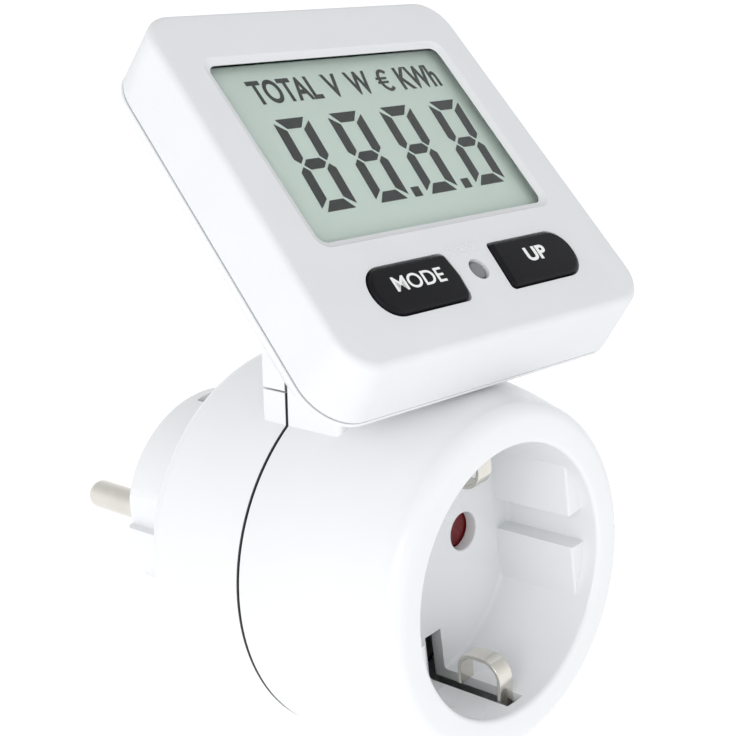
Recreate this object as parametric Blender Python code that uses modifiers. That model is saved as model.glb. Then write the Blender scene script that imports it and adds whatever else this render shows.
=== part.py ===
"""Plug-in power meter: a round through-socket body that carries a tilting display head.

The frame has X to the right as the reader of the display sees it, Y towards the wall and Z up.
The origin is the centre of the plug's end face, where it seats on the floor of a wall socket.
"""
import math

import bmesh
import bpy
from mathutils import Matrix

MM = 0.001

# ---------------------------------------------------------------- driving dimensions
GAP = 0.3 * MM                    # between pieces that touch on the real object
RUNNING = 0.3 * MM                # round a shaft that turns or slides

BARREL_R = 28.8 * MM
BARREL_NARROWS = 2.6 * MM         # the barrel is narrower by this at the socket
BARREL_LENGTH = 48.5 * MM         # front ring to the shoulder behind the plug body
BARREL_WALL = 2.2 * MM
FLARE_END = 18.0 * MM             # depth at which the barrel reaches its full radius
FRONT_FILLET = 2.4 * MM
BACK_FILLET = 4.0 * MM
SEAM_DEPTH = 27.3 * MM            # front ring to the joint between the two shells

WELL_R = 20.3 * MM
WELL_DEPTH = 17.5 * MM
WELL_WALL = 1.6 * MM
FLOOR_THICK = 2.0 * MM
RIM_CHAMFER = 0.6 * MM
GUIDE_CHORD = 17.1 * MM           # flat faces that line up the side flats of a plug
GUIDE_CHANNEL = 5.2 * MM
GUIDE_HEIGHT = 11.4 * MM
GUIDE_SETBACK = 2.8 * MM

PLUG_R = 18.5 * MM
PLUG_LENGTH = 16.8 * MM
PLUG_WALL = 2.2 * MM
PLUG_END_WALL = 2.5 * MM
PLUG_END_EDGE = 1.4 * MM
PLUG_FLAT = 16.9 * MM
PLUG_RIB = 3.2 * MM
PLUG_FLAT_HEIGHT = 9.0 * MM

PIN_SPACING = 19.0 * MM
PIN_D = 4.8 * MM
PIN_LENGTH = 19.0 * MM
PIN_HOLE_D = 6.0 * MM
PIN_FLANGE_D = 7.4 * MM
PIN_SHANK_D = 3.4 * MM
CORE_ROLL = math.radians(8.0)     # the socket, contacts and pins sit turned in the barrel

STRAP_WIDTH = 3.0 * MM
STRAP_THICK = 0.6 * MM
STRAP_RUN = 23.2 * MM             # height of the strap's long run past the well
STRAP_CONTACT = 17.9 * MM         # height of the side contact on the plug body
BOW_HEIGHT = 14.1 * MM            # how near the barrel's axis the earth clip bows
BOW_FRONT = 3.9 * MM              # depths of the bow's two legs
BOW_BACK = 11.4 * MM
BOW_FOOT = 0.9 * MM               # the bow's free end stops this far inside the well's wall
STRAP_TURN = 4.6 * MM             # depth at which the long run turns into the well
SLOT_FRONT = 2.3 * MM
SLOT_TOP = 13.2 * MM

SCREW_CIRCLE = 23.2 * MM
SCREW_POST_D = 5.0 * MM
SCREW_D = 2.2 * MM
SCREW_HEAD_D = 3.6 * MM
SCREW_HEAD_THICK = 1.2 * MM

NECK_WIDTH = 36.0 * MM
NECK_FRONT = 17.0 * MM            # depths behind the front ring
NECK_BACK = 32.8 * MM
NECK_RISE = 5.5 * MM              # top of the neck above the barrel's side
NECK_SPLIT_DOWN = 1.3 * MM        # the joint between the shells runs this far below the barrel's top

HINGE_DEPTH = 27.8 * MM
HINGE_RISE = 11.3 * MM            # hinge above the barrel's side
HINGE_R = 5.0 * MM
HINGE_BORE_R = 3.2 * MM
KNUCKLE_HALF = 11.0 * MM
KNUCKLE_WALL = 2.5 * MM
LUG_START = 12.0 * MM
LUG_THICK = 3.6 * MM
LUG_FOOT = 6.5 * MM
HINGE_PIN_D = 3.0 * MM
HINGE_PIN_HEAD_D = 5.2 * MM
WASHER_THICK = 0.4 * MM

HEAD_TILT = math.radians(43.3)
FACE_BELOW = 21.45 * MM           # the face's lower edge is this far below the hinge, along the head
FACE_FORWARD = 18.2 * MM          # face in front of the hinge
FACE_WIDTH_TOP = 62.0 * MM
FACE_WIDTH_BOTTOM = 65.0 * MM
FACE_HEIGHT = 59.9 * MM
FACE_CORNER = 5.5 * MM
FACE_THICK = 1.8 * MM
BEZEL_DEPTH = 9.6 * MM
JOINT_SIDE_TOP = 0.4 * MM         # how far the sides spread from the face to the back cover
JOINT_SIDE_BOTTOM = 0.5 * MM
JOINT_RISE = -0.75 * MM           # the top edge draws in
JOINT_DROP = 2.65 * MM            # and the lower edge slopes out
JOINT_CORNER = 1.7 * MM           # added to the corner's radius
BACK_DEPTH = 12.8 * MM
BACK_RIM = 0.6 * MM
BACK_SLOPE = 2.4 * MM             # how far the cover's edge slopes in
BACK_LIFT = 3.2 * MM              # and the further slope along its lower edge, over the barrel
HEAD_WALL = 2.0 * MM
COVER_WALL = 1.8 * MM

WINDOW_WIDTH = 47.6 * MM
WINDOW_HEIGHT = 30.6 * MM
WINDOW_CENTRE = 5.25 * MM         # above the face centre
WINDOW_CORNER = 1.5 * MM
WINDOW_BEVEL = 0.8 * MM
WINDOW_LIP = 0.6 * MM
LENS_MARGIN = 1.2 * MM
LENS_THICK = 1.0 * MM
LCD_MARGIN = 0.9 * MM
LCD_SIDE = 2.4 * MM               # wider than the window, since the face is read from the side too
LCD_THICK = 2.6 * MM

BOARD_FRONT = 7.6 * MM            # depth of the display board behind the face
BOARD_THICK = 1.0 * MM
BOARD_MARGIN = 0.6 * MM           # between the display board and the head's walls
HEAD_SCREW_IN = 6.15 * MM         # the head's screws stand this far inside the face's sides
HEAD_SCREW_DOWN = 5.65 * MM       # and this far below its top edge
HEAD_SCREW_UP = 8.95 * MM         # or above its lower edge

BUTTON_TOP = -15.8 * MM           # below the face centre
BUTTON_BOTTOM = -23.4 * MM
MODE_LEFT = -21.4 * MM
MODE_RIGHT = -3.9 * MM
UP_LEFT = 5.1 * MM
UP_RIGHT = 22.2 * MM
BUTTON_PROUD = 0.5 * MM
BUTTON_FLANGE = 0.9 * MM
BUTTON_FLANGE_THICK = 0.8 * MM
BUTTON_TRAVEL = 0.6 * MM
RESET_X = 0.85 * MM
RESET_Z = -19.2 * MM
RESET_D = 3.5 * MM
RESET_SUNK = 0.3 * MM

SWITCH_SIZE = 6.0 * MM
SWITCH_THICK = 3.0 * MM
PLUNGER_D = 3.0 * MM

RIBBON_X = 4.2 * MM
RIBBON_WIDTH = 7.4 * MM
RIBBON_THICK = 0.7 * MM

MAIN_BOARD_R = 19.6 * MM
MAIN_BOARD_DEPTH = 42.0 * MM
MAIN_BOARD_THICK = 1.4 * MM

SHUTTER_THICK = 1.8 * MM
SHUTTER_BLADE_R = 3.3 * MM
SHUTTER_HUB_R = 3.6 * MM
POST_R = 1.4 * MM
CARRIER_THICK = 2.6 * MM
CONTACT_WIDTH = 6.0 * MM
CONTACT_THICK = 0.6 * MM
CONTACT_LENGTH = 10.4 * MM

# ---------------------------------------------------------------- sizes that follow
BARREL_FRONT_R = BARREL_R - BARREL_NARROWS
NECK_TOP = BARREL_R + NECK_RISE
NECK_SPLIT = BARREL_R - NECK_SPLIT_DOWN
HINGE_HEIGHT = BARREL_R + HINGE_RISE
HEAD_CENTRE = FACE_HEIGHT / 2 - FACE_BELOW
RING_Y = -(PLUG_LENGTH + BARREL_LENGTH)
SHOULDER_Y = -PLUG_LENGTH
FLOOR_BACK = WELL_DEPTH + FLOOR_THICK
SHUTTER_DEPTH = FLOOR_BACK + GAP
CARRIER_DEPTH = SHUTTER_DEPTH + SHUTTER_THICK + GAP
CONTACT_DEPTH = CARRIER_DEPTH + 0.3 * MM
LENS_DEPTH = WINDOW_LIP + GAP
LCD_DEPTH = LENS_DEPTH + LENS_THICK + GAP
SHELL_STEPS = 48

# ---------------------------------------------------------------- scene and materials
for old in list(bpy.data.objects):
    bpy.data.objects.remove(old, do_unlink=True)

PARTS = bpy.data.collections.new("plug_in_power_meter")
TOOLS = bpy.data.collections.new("cutters")
for group in (PARTS, TOOLS):
    bpy.context.scene.collection.children.link(group)


def material(name, colour, roughness, metallic=0.0, alpha=1.0):
    made = bpy.data.materials.new(name)
    made.use_nodes = True
    shader = made.node_tree.nodes["Principled BSDF"]
    shader.inputs["Base Color"].default_value = (*colour, 1.0)
    shader.inputs["Roughness"].default_value = roughness
    shader.inputs["Metallic"].default_value = metallic
    shader.inputs["Alpha"].default_value = alpha
    return made


WHITE = material("gloss_white_plastic", (0.86, 0.87, 0.88), 0.25)
FACE_WHITE = material("satin_white_plastic", (0.80, 0.81, 0.82), 0.45)
BLACK = material("black_key_plastic", (0.012, 0.012, 0.014), 0.55)
GREY = material("grey_key_plastic", (0.35, 0.35, 0.36), 0.5)
RED = material("dark_red_plastic", (0.16, 0.012, 0.015), 0.4)
NATURAL = material("natural_nylon", (0.74, 0.70, 0.60), 0.5)
NICKEL = material("nickel_plate", (0.62, 0.59, 0.53), 0.22, 1.0)
BRASS = material("brass", (0.72, 0.50, 0.22), 0.3, 1.0)
STEEL = material("steel", (0.45, 0.46, 0.48), 0.35, 1.0)
MANGANIN = material("manganin", (0.42, 0.26, 0.17), 0.4, 1.0)
BOARD = material("circuit_board", (0.02, 0.16, 0.06), 0.45)
DARK_PART = material("moulded_component", (0.03, 0.03, 0.035), 0.5)
FILM = material("film_capacitor_case", (0.62, 0.50, 0.06), 0.4)
DISC_BLUE = material("varistor_coating", (0.03, 0.10, 0.32), 0.4)
LENS = material("clear_lens", (0.9, 0.92, 0.92), 0.05, 0.0, 0.3)
GLASS = material("display_glass", (0.47, 0.54, 0.47), 0.25)
RUBBER = material("zebra_rubber", (0.06, 0.06, 0.06), 0.7)
RIBBON = material("ribbon_insulation", (0.55, 0.56, 0.58), 0.5)


# ---------------------------------------------------------------- frames
def empty(name, location=(0, 0, 0), rotation=(0, 0, 0)):
    made = bpy.data.objects.new(name, None)
    made.location = location
    made.rotation_euler = rotation
    TOOLS.objects.link(made)
    return made


def behind_ring(depth):
    return RING_Y + depth


CORE = empty("core_frame", (0, RING_Y, 0), (0, -CORE_ROLL, 0))   # local Y = depth behind the ring
BODY = empty("body_frame", (0, RING_Y, 0))
HEAD = empty("head_tilt_axis", (0, behind_ring(HINGE_DEPTH), HINGE_HEIGHT), (-HEAD_TILT, 0, 0))


def on_head(x, depth, height):
    """A place on the head: x, depth behind the face, height over the face centre."""
    return (x, depth - FACE_FORWARD, height + HEAD_CENTRE)


# ---------------------------------------------------------------- modelling helpers
AXIS_TURN = {"X": (0, math.pi / 2, 0), "Y": (-math.pi / 2, 0, 0), "Z": (0, 0, 0)}
PLANE_TURN = {"XY": (0, 0, 0), "XZ": (math.pi / 2, 0, 0), "YZ": (math.pi / 2, 0, math.pi / 2)}


def place(name, mesh, paint, location, rotation=(0, 0, 0), frame=None):
    """Put a mesh in the scene: with a paint it is a part, without one it is a cutter."""
    made = bpy.data.objects.new(name, mesh)
    made.location = location
    made.rotation_euler = rotation
    made.parent = frame
    if paint:
        mesh.materials.clear()
        mesh.materials.append(paint)
        PARTS.objects.link(made)
    else:
        TOOLS.objects.link(made)
        made.hide_render = True
        made.display_type = "WIRE"
    return made


def bake(bm, name, smooth=False):
    mesh = bpy.data.meshes.new(name)
    bmesh.ops.recalc_face_normals(bm, faces=bm.faces)
    bm.to_mesh(mesh)
    bm.free()
    if smooth:
        mesh.shade_smooth()
        mesh.set_sharp_from_angle(angle=math.radians(35))
    return mesh


def box(name, size, centre, paint=None, frame=None, bevel=0.0, rotation=(0, 0, 0)):
    bm = bmesh.new()
    bmesh.ops.create_cube(bm, size=1.0)
    bmesh.ops.scale(bm, vec=size, verts=bm.verts)
    made = place(name, bake(bm, name), paint, centre, rotation, frame)
    if bevel:
        edge = made.modifiers.new("edges", "BEVEL")
        edge.width = bevel
        edge.segments = 2
    return made


def cylinder(name, radius, length, centre, axis="Y", paint=None, frame=None, sides=24):
    bm = bmesh.new()
    bmesh.ops.create_cone(bm, cap_ends=True, segments=sides, radius1=radius, radius2=radius, depth=length)
    return place(name, bake(bm, name, True), paint, centre, AXIS_TURN[axis], frame)


def turned(name, profile, paint=None, centre=(0, 0, 0), axis="Y", frame=None, steps=SHELL_STEPS):
    """Turn a (radius, along) profile round an axis; outer sides run down, inner sides up."""
    bm = bmesh.new()
    verts = [bm.verts.new((radius, 0, along)) for radius, along in profile]
    for a, b in zip(verts, verts[1:]):
        bm.edges.new((a, b))
    if profile[0][0] > 0 and profile[-1][0] > 0:
        bm.edges.new((verts[-1], verts[0]))
    mesh = bpy.data.meshes.new(name)
    bm.to_mesh(mesh)
    bm.free()
    made = place(name, mesh, paint, centre, AXIS_TURN[axis], frame)
    screw = made.modifiers.new("turn", "SCREW")
    screw.steps = steps
    screw.render_steps = steps
    screw.use_merge_vertices = True
    screw.merge_threshold = 0.00002
    return made


def arc(cx, cy, radius, start, end, steps):
    """Points along an arc, angles in degrees."""
    turns = [math.radians(start + (end - start) * i / steps) for i in range(steps + 1)]
    return [(cx + radius * math.cos(t), cy + radius * math.sin(t)) for t in turns]


def rounded(corners, steps=5):
    """Outline through (x, y, radius) corners, each cut by a tangent arc."""
    points = []
    for i, (x, y, radius) in enumerate(corners):
        px, py, _ = corners[i - 1]
        nx, ny, _ = corners[(i + 1) % len(corners)]
        back = math.atan2(py - y, px - x)
        ahead = math.atan2(ny - y, nx - x)
        half = (ahead - back) / 2
        if radius <= 0 or abs(math.sin(half)) < 1e-6:
            points.append((x, y))
            continue
        reach = radius / abs(math.tan(half))
        start = (x + reach * math.cos(back), y + reach * math.sin(back))
        end = (x + reach * math.cos(ahead), y + reach * math.sin(ahead))
        middle = math.hypot(reach, radius)
        bisect = math.atan2(math.sin(back) + math.sin(ahead), math.cos(back) + math.cos(ahead))
        cx, cy = x + middle * math.cos(bisect), y + middle * math.sin(bisect)
        a0 = math.atan2(start[1] - cy, start[0] - cx)
        a1 = math.atan2(end[1] - cy, end[0] - cx)
        sweep = (a1 - a0 + math.pi) % (2 * math.pi) - math.pi
        for k in range(steps + 1):
            t = a0 + sweep * k / steps
            points.append((cx + radius * math.cos(t), cy + radius * math.sin(t)))
    return points


def rectangle(width, height, radius, x=0.0, y=0.0, steps=5):
    w, h = width / 2, height / 2
    return rounded([(x - w, y - h, radius), (x + w, y - h, radius),
                    (x + w, y + h, radius), (x - w, y + h, radius)], steps)


def outline_solid(name, points, thickness, centre, plane, paint=None, frame=None):
    """A flat outline given thickness: the curve is turned into a closed mesh."""
    curve = bpy.data.curves.new(name, "CURVE")
    curve.dimensions = "2D"
    curve.fill_mode = "BOTH"
    curve.extrude = thickness / 2
    line = curve.splines.new("POLY")
    line.points.add(len(points) - 1)
    for point, (x, y) in zip(line.points, points):
        point.co = (x, y, 0, 1)
    line.use_cyclic_u = True
    guide = bpy.data.objects.new(name + "_outline", curve)
    TOOLS.objects.link(guide)
    mesh = bpy.data.meshes.new_from_object(guide.evaluated_get(bpy.context.evaluated_depsgraph_get()))
    bpy.data.objects.remove(guide, do_unlink=True)
    bm = bmesh.new()
    bm.from_mesh(mesh)
    bmesh.ops.remove_doubles(bm, verts=bm.verts, dist=0.000002)
    return place(name, bake(bm, name), paint, centre, PLANE_TURN[plane], frame)


def strip_outline(path, thickness):
    """Outline of a bent strip seen edge on, from its centre line."""
    sides = ([], [])
    for i, (x, y) in enumerate(path):
        bx, by = path[max(i - 1, 0)]
        ax, ay = path[min(i + 1, len(path) - 1)]
        before = math.atan2(y - by, x - bx) if i else math.atan2(ay - y, ax - x)
        after = math.atan2(ay - y, ax - x) if i < len(path) - 1 else before
        turn = (after - before + math.pi) % (2 * math.pi) - math.pi
        normal = before + turn / 2 + math.pi / 2
        reach = thickness / 2 / math.cos(turn / 2)
        for side, sign in zip(sides, (1, -1)):
            side.append((x + sign * reach * math.cos(normal), y + sign * reach * math.sin(normal)))
    return sides[1] + sides[0][::-1]


def bent_strip(name, path, thickness, width, centre, plane, paint, frame):
    return outline_solid(name, strip_outline(path, thickness), width, centre, plane, paint, frame)


def lofted(name, sections, paint=None, centre=(0, 0, 0), frame=None):
    """Skin over like outlines: sections holds (depth along Y, [(x, z), ...])."""
    bm = bmesh.new()
    rings = [[bm.verts.new((x, depth, z)) for x, z in outline] for depth, outline in sections]
    for low, high in zip(rings, rings[1:]):
        for i in range(len(low)):
            j = (i + 1) % len(low)
            bm.faces.new((low[i], low[j], high[j], high[i]))
    bm.faces.new(rings[0])
    bm.faces.new(rings[-1])
    return place(name, bake(bm, name), paint, centre, (0, 0, 0), frame)


def boolean(target, operation, tools):
    for tool in tools:
        step = target.modifiers.new(tool.name, "BOOLEAN")
        step.operation = operation
        step.solver = "EXACT"
        step.object = tool
    return target


def cut(target, *tools):
    return boolean(target, "DIFFERENCE", tools)


def add(target, *tools):
    return boolean(target, "UNION", tools)


# ---------------------------------------------------------------- barrel
def barrel_side(depth):
    """Outer radius of the front shell at a depth behind the ring."""
    share = min(max((depth - FRONT_FILLET) / (FLARE_END - FRONT_FILLET), 0.0), 1.0)
    return BARREL_R - (BARREL_R - BARREL_FRONT_R) * (1 - share) ** 2


def screw_places():
    corner = SCREW_CIRCLE / math.sqrt(2)
    return [(sx * corner, sz * corner) for sz in (1, -1) for sx in (-1, 1)]


def ribbon_channel(name):
    """The way for the ribbon up from the barrel through the neck to the hinge."""
    height = HINGE_HEIGHT - BARREL_R + 2 * BARREL_WALL + 4 * MM
    return box(name, (RIBBON_WIDTH + 2 * GAP, 4.4 * MM, height),
               (RIBBON_X, HINGE_DEPTH, HINGE_HEIGHT - height / 2), frame=BODY)


def hinge_pin_bore(name, frame, centre):
    return cylinder(name, HINGE_PIN_D / 2 + RUNNING, 2 * (LUG_START + LUG_THICK + 2 * MM), centre, "X", frame=frame)


def make_front_shell():
    flare = [FRONT_FILLET + (FLARE_END - FRONT_FILLET) * s for s in (1.0, 0.7, 0.45, 0.2)]
    well_out = WELL_R + WELL_WALL
    inner_front = FRONT_FILLET + 0.6 * MM
    profile = [(0, FLOOR_BACK), (well_out, FLOOR_BACK), (well_out, inner_front),
               (BARREL_FRONT_R - BARREL_WALL, inner_front), (BARREL_R - BARREL_WALL, FLARE_END),
               (BARREL_R - BARREL_WALL, SEAM_DEPTH), (BARREL_R, SEAM_DEPTH)]
    profile += [(barrel_side(depth), depth) for depth in flare]
    profile += arc(BARREL_FRONT_R - FRONT_FILLET, FRONT_FILLET, FRONT_FILLET, 0, -90, 4)
    profile += [(WELL_R + RIM_CHAMFER, 0), (WELL_R, RIM_CHAMFER), (WELL_R, WELL_DEPTH), (0, WELL_DEPTH)]
    shell = turned("front_shell", profile, WHITE, frame=BODY)

    neck_height = NECK_TOP - 20 * MM
    neck = box("neck_block", (NECK_WIDTH, NECK_BACK - NECK_FRONT, neck_height),
               (0, (NECK_BACK + NECK_FRONT) / 2, NECK_TOP - neck_height / 2), frame=BODY, bevel=0.8 * MM)
    barrel_core = cylinder("neck_trim", BARREL_R - BARREL_WALL, SEAM_DEPTH + 20 * MM,
                           (0, SEAM_DEPTH / 2 + 10 * MM, 0), frame=BODY, sides=SHELL_STEPS)
    split = box("neck_split", (NECK_WIDTH + 4 * MM, 12 * MM, 20 * MM),
                (0, SEAM_DEPTH + 6 * MM, NECK_SPLIT - 10 * MM), frame=BODY)
    cut(neck, barrel_core, split)
    knuckle = outline_solid("hinge_knuckle", arc(0, 0, HINGE_R, 0, 180, 12)
                            + [(-HINGE_R, NECK_TOP - HINGE_HEIGHT - 2 * MM), (HINGE_R, NECK_TOP - HINGE_HEIGHT - 2 * MM)],
                            2 * KNUCKLE_HALF, (0, HINGE_DEPTH - 0.05 * MM, HINGE_HEIGHT), "YZ", frame=BODY)
    add(shell, neck, knuckle)

    for side in (-1, 1):
        for level in (-1, 1):
            start = GUIDE_CHANNEL / 2
            reach = WELL_R + WELL_WALL / 2
            low = math.degrees(math.asin(start / reach))
            high = math.degrees(math.atan2(GUIDE_HEIGHT, GUIDE_CHORD))
            outline = [(GUIDE_CHORD, start)] + arc(0, 0, reach, low, high, 5) + [(GUIDE_CHORD, GUIDE_HEIGHT)]
            outline = [(side * x, level * z) for x, z in outline]
            length = WELL_DEPTH + FLOOR_THICK / 2 - GUIDE_SETBACK
            add(shell, outline_solid(f"guide_block_{side}_{level}", outline, length,
                                     (0, GUIDE_SETBACK + length / 2, 0), "XZ", frame=CORE))
    post_length = SEAM_DEPTH - inner_front
    for i, (x, z) in enumerate(screw_places()):
        add(shell, cylinder(f"screw_post_{i}", SCREW_POST_D / 2, post_length,
                            (x, inner_front - 0.3 * MM + post_length / 2, z), frame=BODY, sides=16))
    stub = CARRIER_DEPTH + CARRIER_THICK - FLOOR_BACK + 1.0 * MM
    for i, z in enumerate((-8.6 * MM, 0.0, 8.6 * MM)):
        add(shell, cylinder(f"floor_post_{i}", POST_R, stub, (0, FLOOR_BACK - 0.6 * MM + stub / 2, z),
                            frame=CORE, sides=16))

    for side in (-1, 1):
        cut(shell, cylinder(f"pin_hole_{side}", PIN_HOLE_D / 2, 3 * FLOOR_THICK,
                            (side * PIN_SPACING / 2, WELL_DEPTH + FLOOR_THICK / 2, 0), frame=CORE, sides=32))
        slot_width = STRAP_WIDTH + 2 * GAP
        wall_slot = box(f"wall_slot_{side}", (slot_width, FLOOR_BACK + 1 * MM - SLOT_FRONT, 4.0 * MM),
                        (0, (FLOOR_BACK + 1 * MM + SLOT_FRONT) / 2, side * (WELL_R + 0.8 * MM)), frame=CORE)
        slot_height = WELL_R - SLOT_TOP
        floor_slot = box(f"floor_slot_{side}", (slot_width, 3 * FLOOR_THICK, slot_height),
                         (0, WELL_DEPTH + FLOOR_THICK / 2, side * (SLOT_TOP + slot_height / 2)), frame=CORE)
        cut(shell, wall_slot, floor_slot)
    for i, (x, z) in enumerate(screw_places()):
        cut(shell, cylinder(f"screw_pilot_{i}", SCREW_D / 2 + GAP, 14 * MM,
                            (x, SEAM_DEPTH - 6 * MM, z), frame=BODY, sides=16))
    bore_half = KNUCKLE_HALF - KNUCKLE_WALL
    bore = cylinder("knuckle_bore", HINGE_BORE_R, 2 * bore_half, (0, HINGE_DEPTH, HINGE_HEIGHT), "X", frame=BODY)
    window = box("knuckle_window", (RIBBON_WIDTH + 2 * GAP, 5.6 * MM, 8 * MM),
                 (RIBBON_X, HINGE_DEPTH - 2.2 * MM, HINGE_HEIGHT + 3.6 * MM), frame=BODY,
                 rotation=(math.radians(30), 0, 0))
    pin_bore = hinge_pin_bore("knuckle_pin_bore", BODY, (0, HINGE_DEPTH, HINGE_HEIGHT))
    cut(shell, ribbon_channel("neck_channel"), bore, window, pin_bore)
    return shell


def make_rear_shell():
    inner = BARREL_R - BARREL_WALL
    plug_in = PLUG_R - PLUG_WALL
    end = BARREL_LENGTH + PLUG_LENGTH
    back_in = BARREL_LENGTH - BARREL_WALL
    seam = SEAM_DEPTH + GAP
    profile = [(0, end), (PLUG_R - PLUG_END_EDGE, end), (PLUG_R, end - PLUG_END_EDGE), (PLUG_R, BARREL_LENGTH)]
    profile += arc(BARREL_R - BACK_FILLET, BARREL_LENGTH - BACK_FILLET, BACK_FILLET, 90, 0, 5)
    profile += [(BARREL_R, seam), (inner, seam), (inner, BARREL_LENGTH - BACK_FILLET),
                (inner - BACK_FILLET + BARREL_WALL, back_in), (plug_in, back_in),
                (plug_in, end - PLUG_END_WALL), (0, end - PLUG_END_WALL)]
    shell = turned("rear_shell", profile, WHITE, frame=BODY)

    top = NECK_SPLIT - GAP
    boss = box("boss_block", (NECK_WIDTH, NECK_BACK - seam, top - 18 * MM),
               (0, (NECK_BACK + seam) / 2, (top + 18 * MM) / 2), frame=BODY)
    hollow = cylinder("boss_trim", inner, 30 * MM, (0, seam + 5 * MM, 0), frame=BODY, sides=SHELL_STEPS)
    add(shell, cut(boss, hollow))
    notch_back = NECK_BACK + GAP
    cut(shell, box("neck_notch", (NECK_WIDTH + 2 * GAP, notch_back - seam + 2 * MM, 12 * MM),
                   (0, (notch_back + seam - 2 * MM) / 2, top + 6 * MM), frame=BODY))
    tube_front = SEAM_DEPTH + GAP
    for i, (x, z) in enumerate(screw_places()):
        length = BARREL_LENGTH - 0.6 * MM - tube_front
        add(shell, cylinder(f"screw_tube_{i}", SCREW_POST_D / 2, length,
                            (x, tube_front + length / 2, z), frame=BODY, sides=16))

    for side in (-1, 1):
        for level in (-1, 1):
            height = PLUG_FLAT_HEIGHT - PLUG_RIB / 2
            cut(shell, box(f"plug_flat_{side}_{level}", (6 * MM, PLUG_LENGTH + 2 * MM, height),
                           (side * (PLUG_FLAT + 3 * MM), BARREL_LENGTH + PLUG_LENGTH / 2 + 1.2 * MM,
                            level * (PLUG_RIB / 2 + height / 2)), frame=CORE))
        cut(shell, cylinder(f"pin_bore_{side}", PIN_D / 2 + GAP, 4 * PLUG_END_WALL,
                            (side * PIN_SPACING / 2, end, 0), frame=CORE, sides=24))
        slot_length = PLUG_LENGTH - 4.4 * MM
        cut(shell, box(f"contact_slot_{side}", (STRAP_WIDTH + 2 * MM, slot_length, 6 * MM),
                       (0, BARREL_LENGTH + 1.2 * MM + slot_length / 2, side * PLUG_R), frame=CORE))
    for i, (x, z) in enumerate(screw_places()):
        cut(shell, cylinder(f"screw_bore_{i}", SCREW_D / 2 + GAP, 30 * MM,
                            (x, BARREL_LENGTH - 10 * MM, z), frame=BODY, sides=16))
        cut(shell, cylinder(f"screw_seat_{i}", SCREW_HEAD_D / 2 + GAP, 6 * MM,
                            (x, BARREL_LENGTH + 3 * MM - SCREW_HEAD_THICK - GAP, z), frame=BODY, sides=20))
    cut(shell, ribbon_channel("boss_channel"))
    return shell


# ---------------------------------------------------------------- screws
def make_screw(name, length, centre, frame):
    """A pan-head screw whose head faces +Y, with a cross recess."""
    head = SCREW_HEAD_D / 2
    profile = [(0, 0), (head * 0.7, 0), (head, -0.3 * MM), (head, -SCREW_HEAD_THICK),
               (SCREW_D / 2, -SCREW_HEAD_THICK), (SCREW_D / 2, -length + 0.8 * MM), (0, -length)]
    screw = turned(name, profile, STEEL, centre, frame=frame, steps=12)
    for i, size in enumerate(((2.2, 0.5), (0.5, 2.2))):
        cut(screw, box(f"{name}_recess_{i}", (size[0] * MM, 1.2 * MM, size[1] * MM), centre, frame=frame))
    return screw


def make_case_screws():
    for i, (x, z) in enumerate(screw_places()):
        make_screw(f"case_screw_{i + 1}", 26 * MM, (x, BARREL_LENGTH - GAP, z), BODY)


# ---------------------------------------------------------------- plug pins and contacts
def make_plug_pins():
    end = BARREL_LENGTH + PLUG_LENGTH
    radius = PIN_D / 2
    inside = end - PLUG_END_WALL - GAP
    tail = MAIN_BOARD_DEPTH + MAIN_BOARD_THICK + GAP
    tip = end + PIN_LENGTH
    profile = [(0, tip), (radius * 0.45, tip - 0.1 * MM), (radius * 0.8, tip - 0.8 * MM),
               (radius, tip - 2.2 * MM), (radius, inside), (PIN_FLANGE_D / 2, inside),
               (PIN_FLANGE_D / 2, inside - 1.4 * MM), (PIN_SHANK_D / 2, inside - 1.4 * MM),
               (PIN_SHANK_D / 2, tail), (0, tail)]
    for name, side in (("plug_pin_live", -1), ("plug_pin_neutral", 1)):
        turned(name, profile, NICKEL, (side * PIN_SPACING / 2, 0, 0), frame=CORE, steps=16)


def make_contacts():
    open_half = PIN_D / 2 + CONTACT_THICK / 2
    back = CONTACT_DEPTH + CONTACT_LENGTH
    leaf = [(CONTACT_DEPTH, open_half + 0.5 * MM), (CONTACT_DEPTH + 2 * MM, open_half - 0.3 * MM),
            (CONTACT_DEPTH + 5 * MM, open_half), (back - 0.6 * MM, open_half), (back, open_half - 0.6 * MM)]
    path = leaf + [(y, -z) for y, z in leaf[::-1]]
    bar_start = back + CONTACT_THICK / 2 + GAP
    bar_end = MAIN_BOARD_DEPTH - GAP
    step = 1.5 * MM
    for name, side in (("live", -1), ("neutral", 1)):
        x = side * PIN_SPACING / 2
        bent_strip(f"{name}_socket_contact", path, CONTACT_THICK, CONTACT_WIDTH, (x, 0, 0), "YZ", BRASS, CORE)
        bar = [(bar_start + 0.4 * MM, 2.4 * MM), (bar_start + 0.4 * MM, -step), (bar_end, -step)]
        bent_strip(f"{name}_busbar", bar, 0.8 * MM, 4.4 * MM, (x, 0, 0), "YZ", BRASS, CORE)


def make_contact_carrier():
    body = outline_solid("contact_carrier", rectangle(35 * MM, 22 * MM, 5 * MM), CARRIER_THICK,
                         (0, CARRIER_DEPTH + CARRIER_THICK / 2, 0), "XZ", NATURAL, CORE)
    pocket = (CONTACT_WIDTH + 1.2 * MM, 3 * CARRIER_THICK, PIN_D + 2 * CONTACT_THICK + 2.2 * MM)
    for side in (-1, 1):
        cut(body, box(f"contact_pocket_{side}", pocket, (side * PIN_SPACING / 2, CARRIER_DEPTH, 0), frame=CORE))
    for i, z in enumerate((-8.6 * MM, 0.0, 8.6 * MM)):
        cut(body, cylinder(f"carrier_hole_{i}", POST_R + GAP, 3 * CARRIER_THICK, (0, CARRIER_DEPTH, z),
                           frame=CORE, sides=16))


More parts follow.
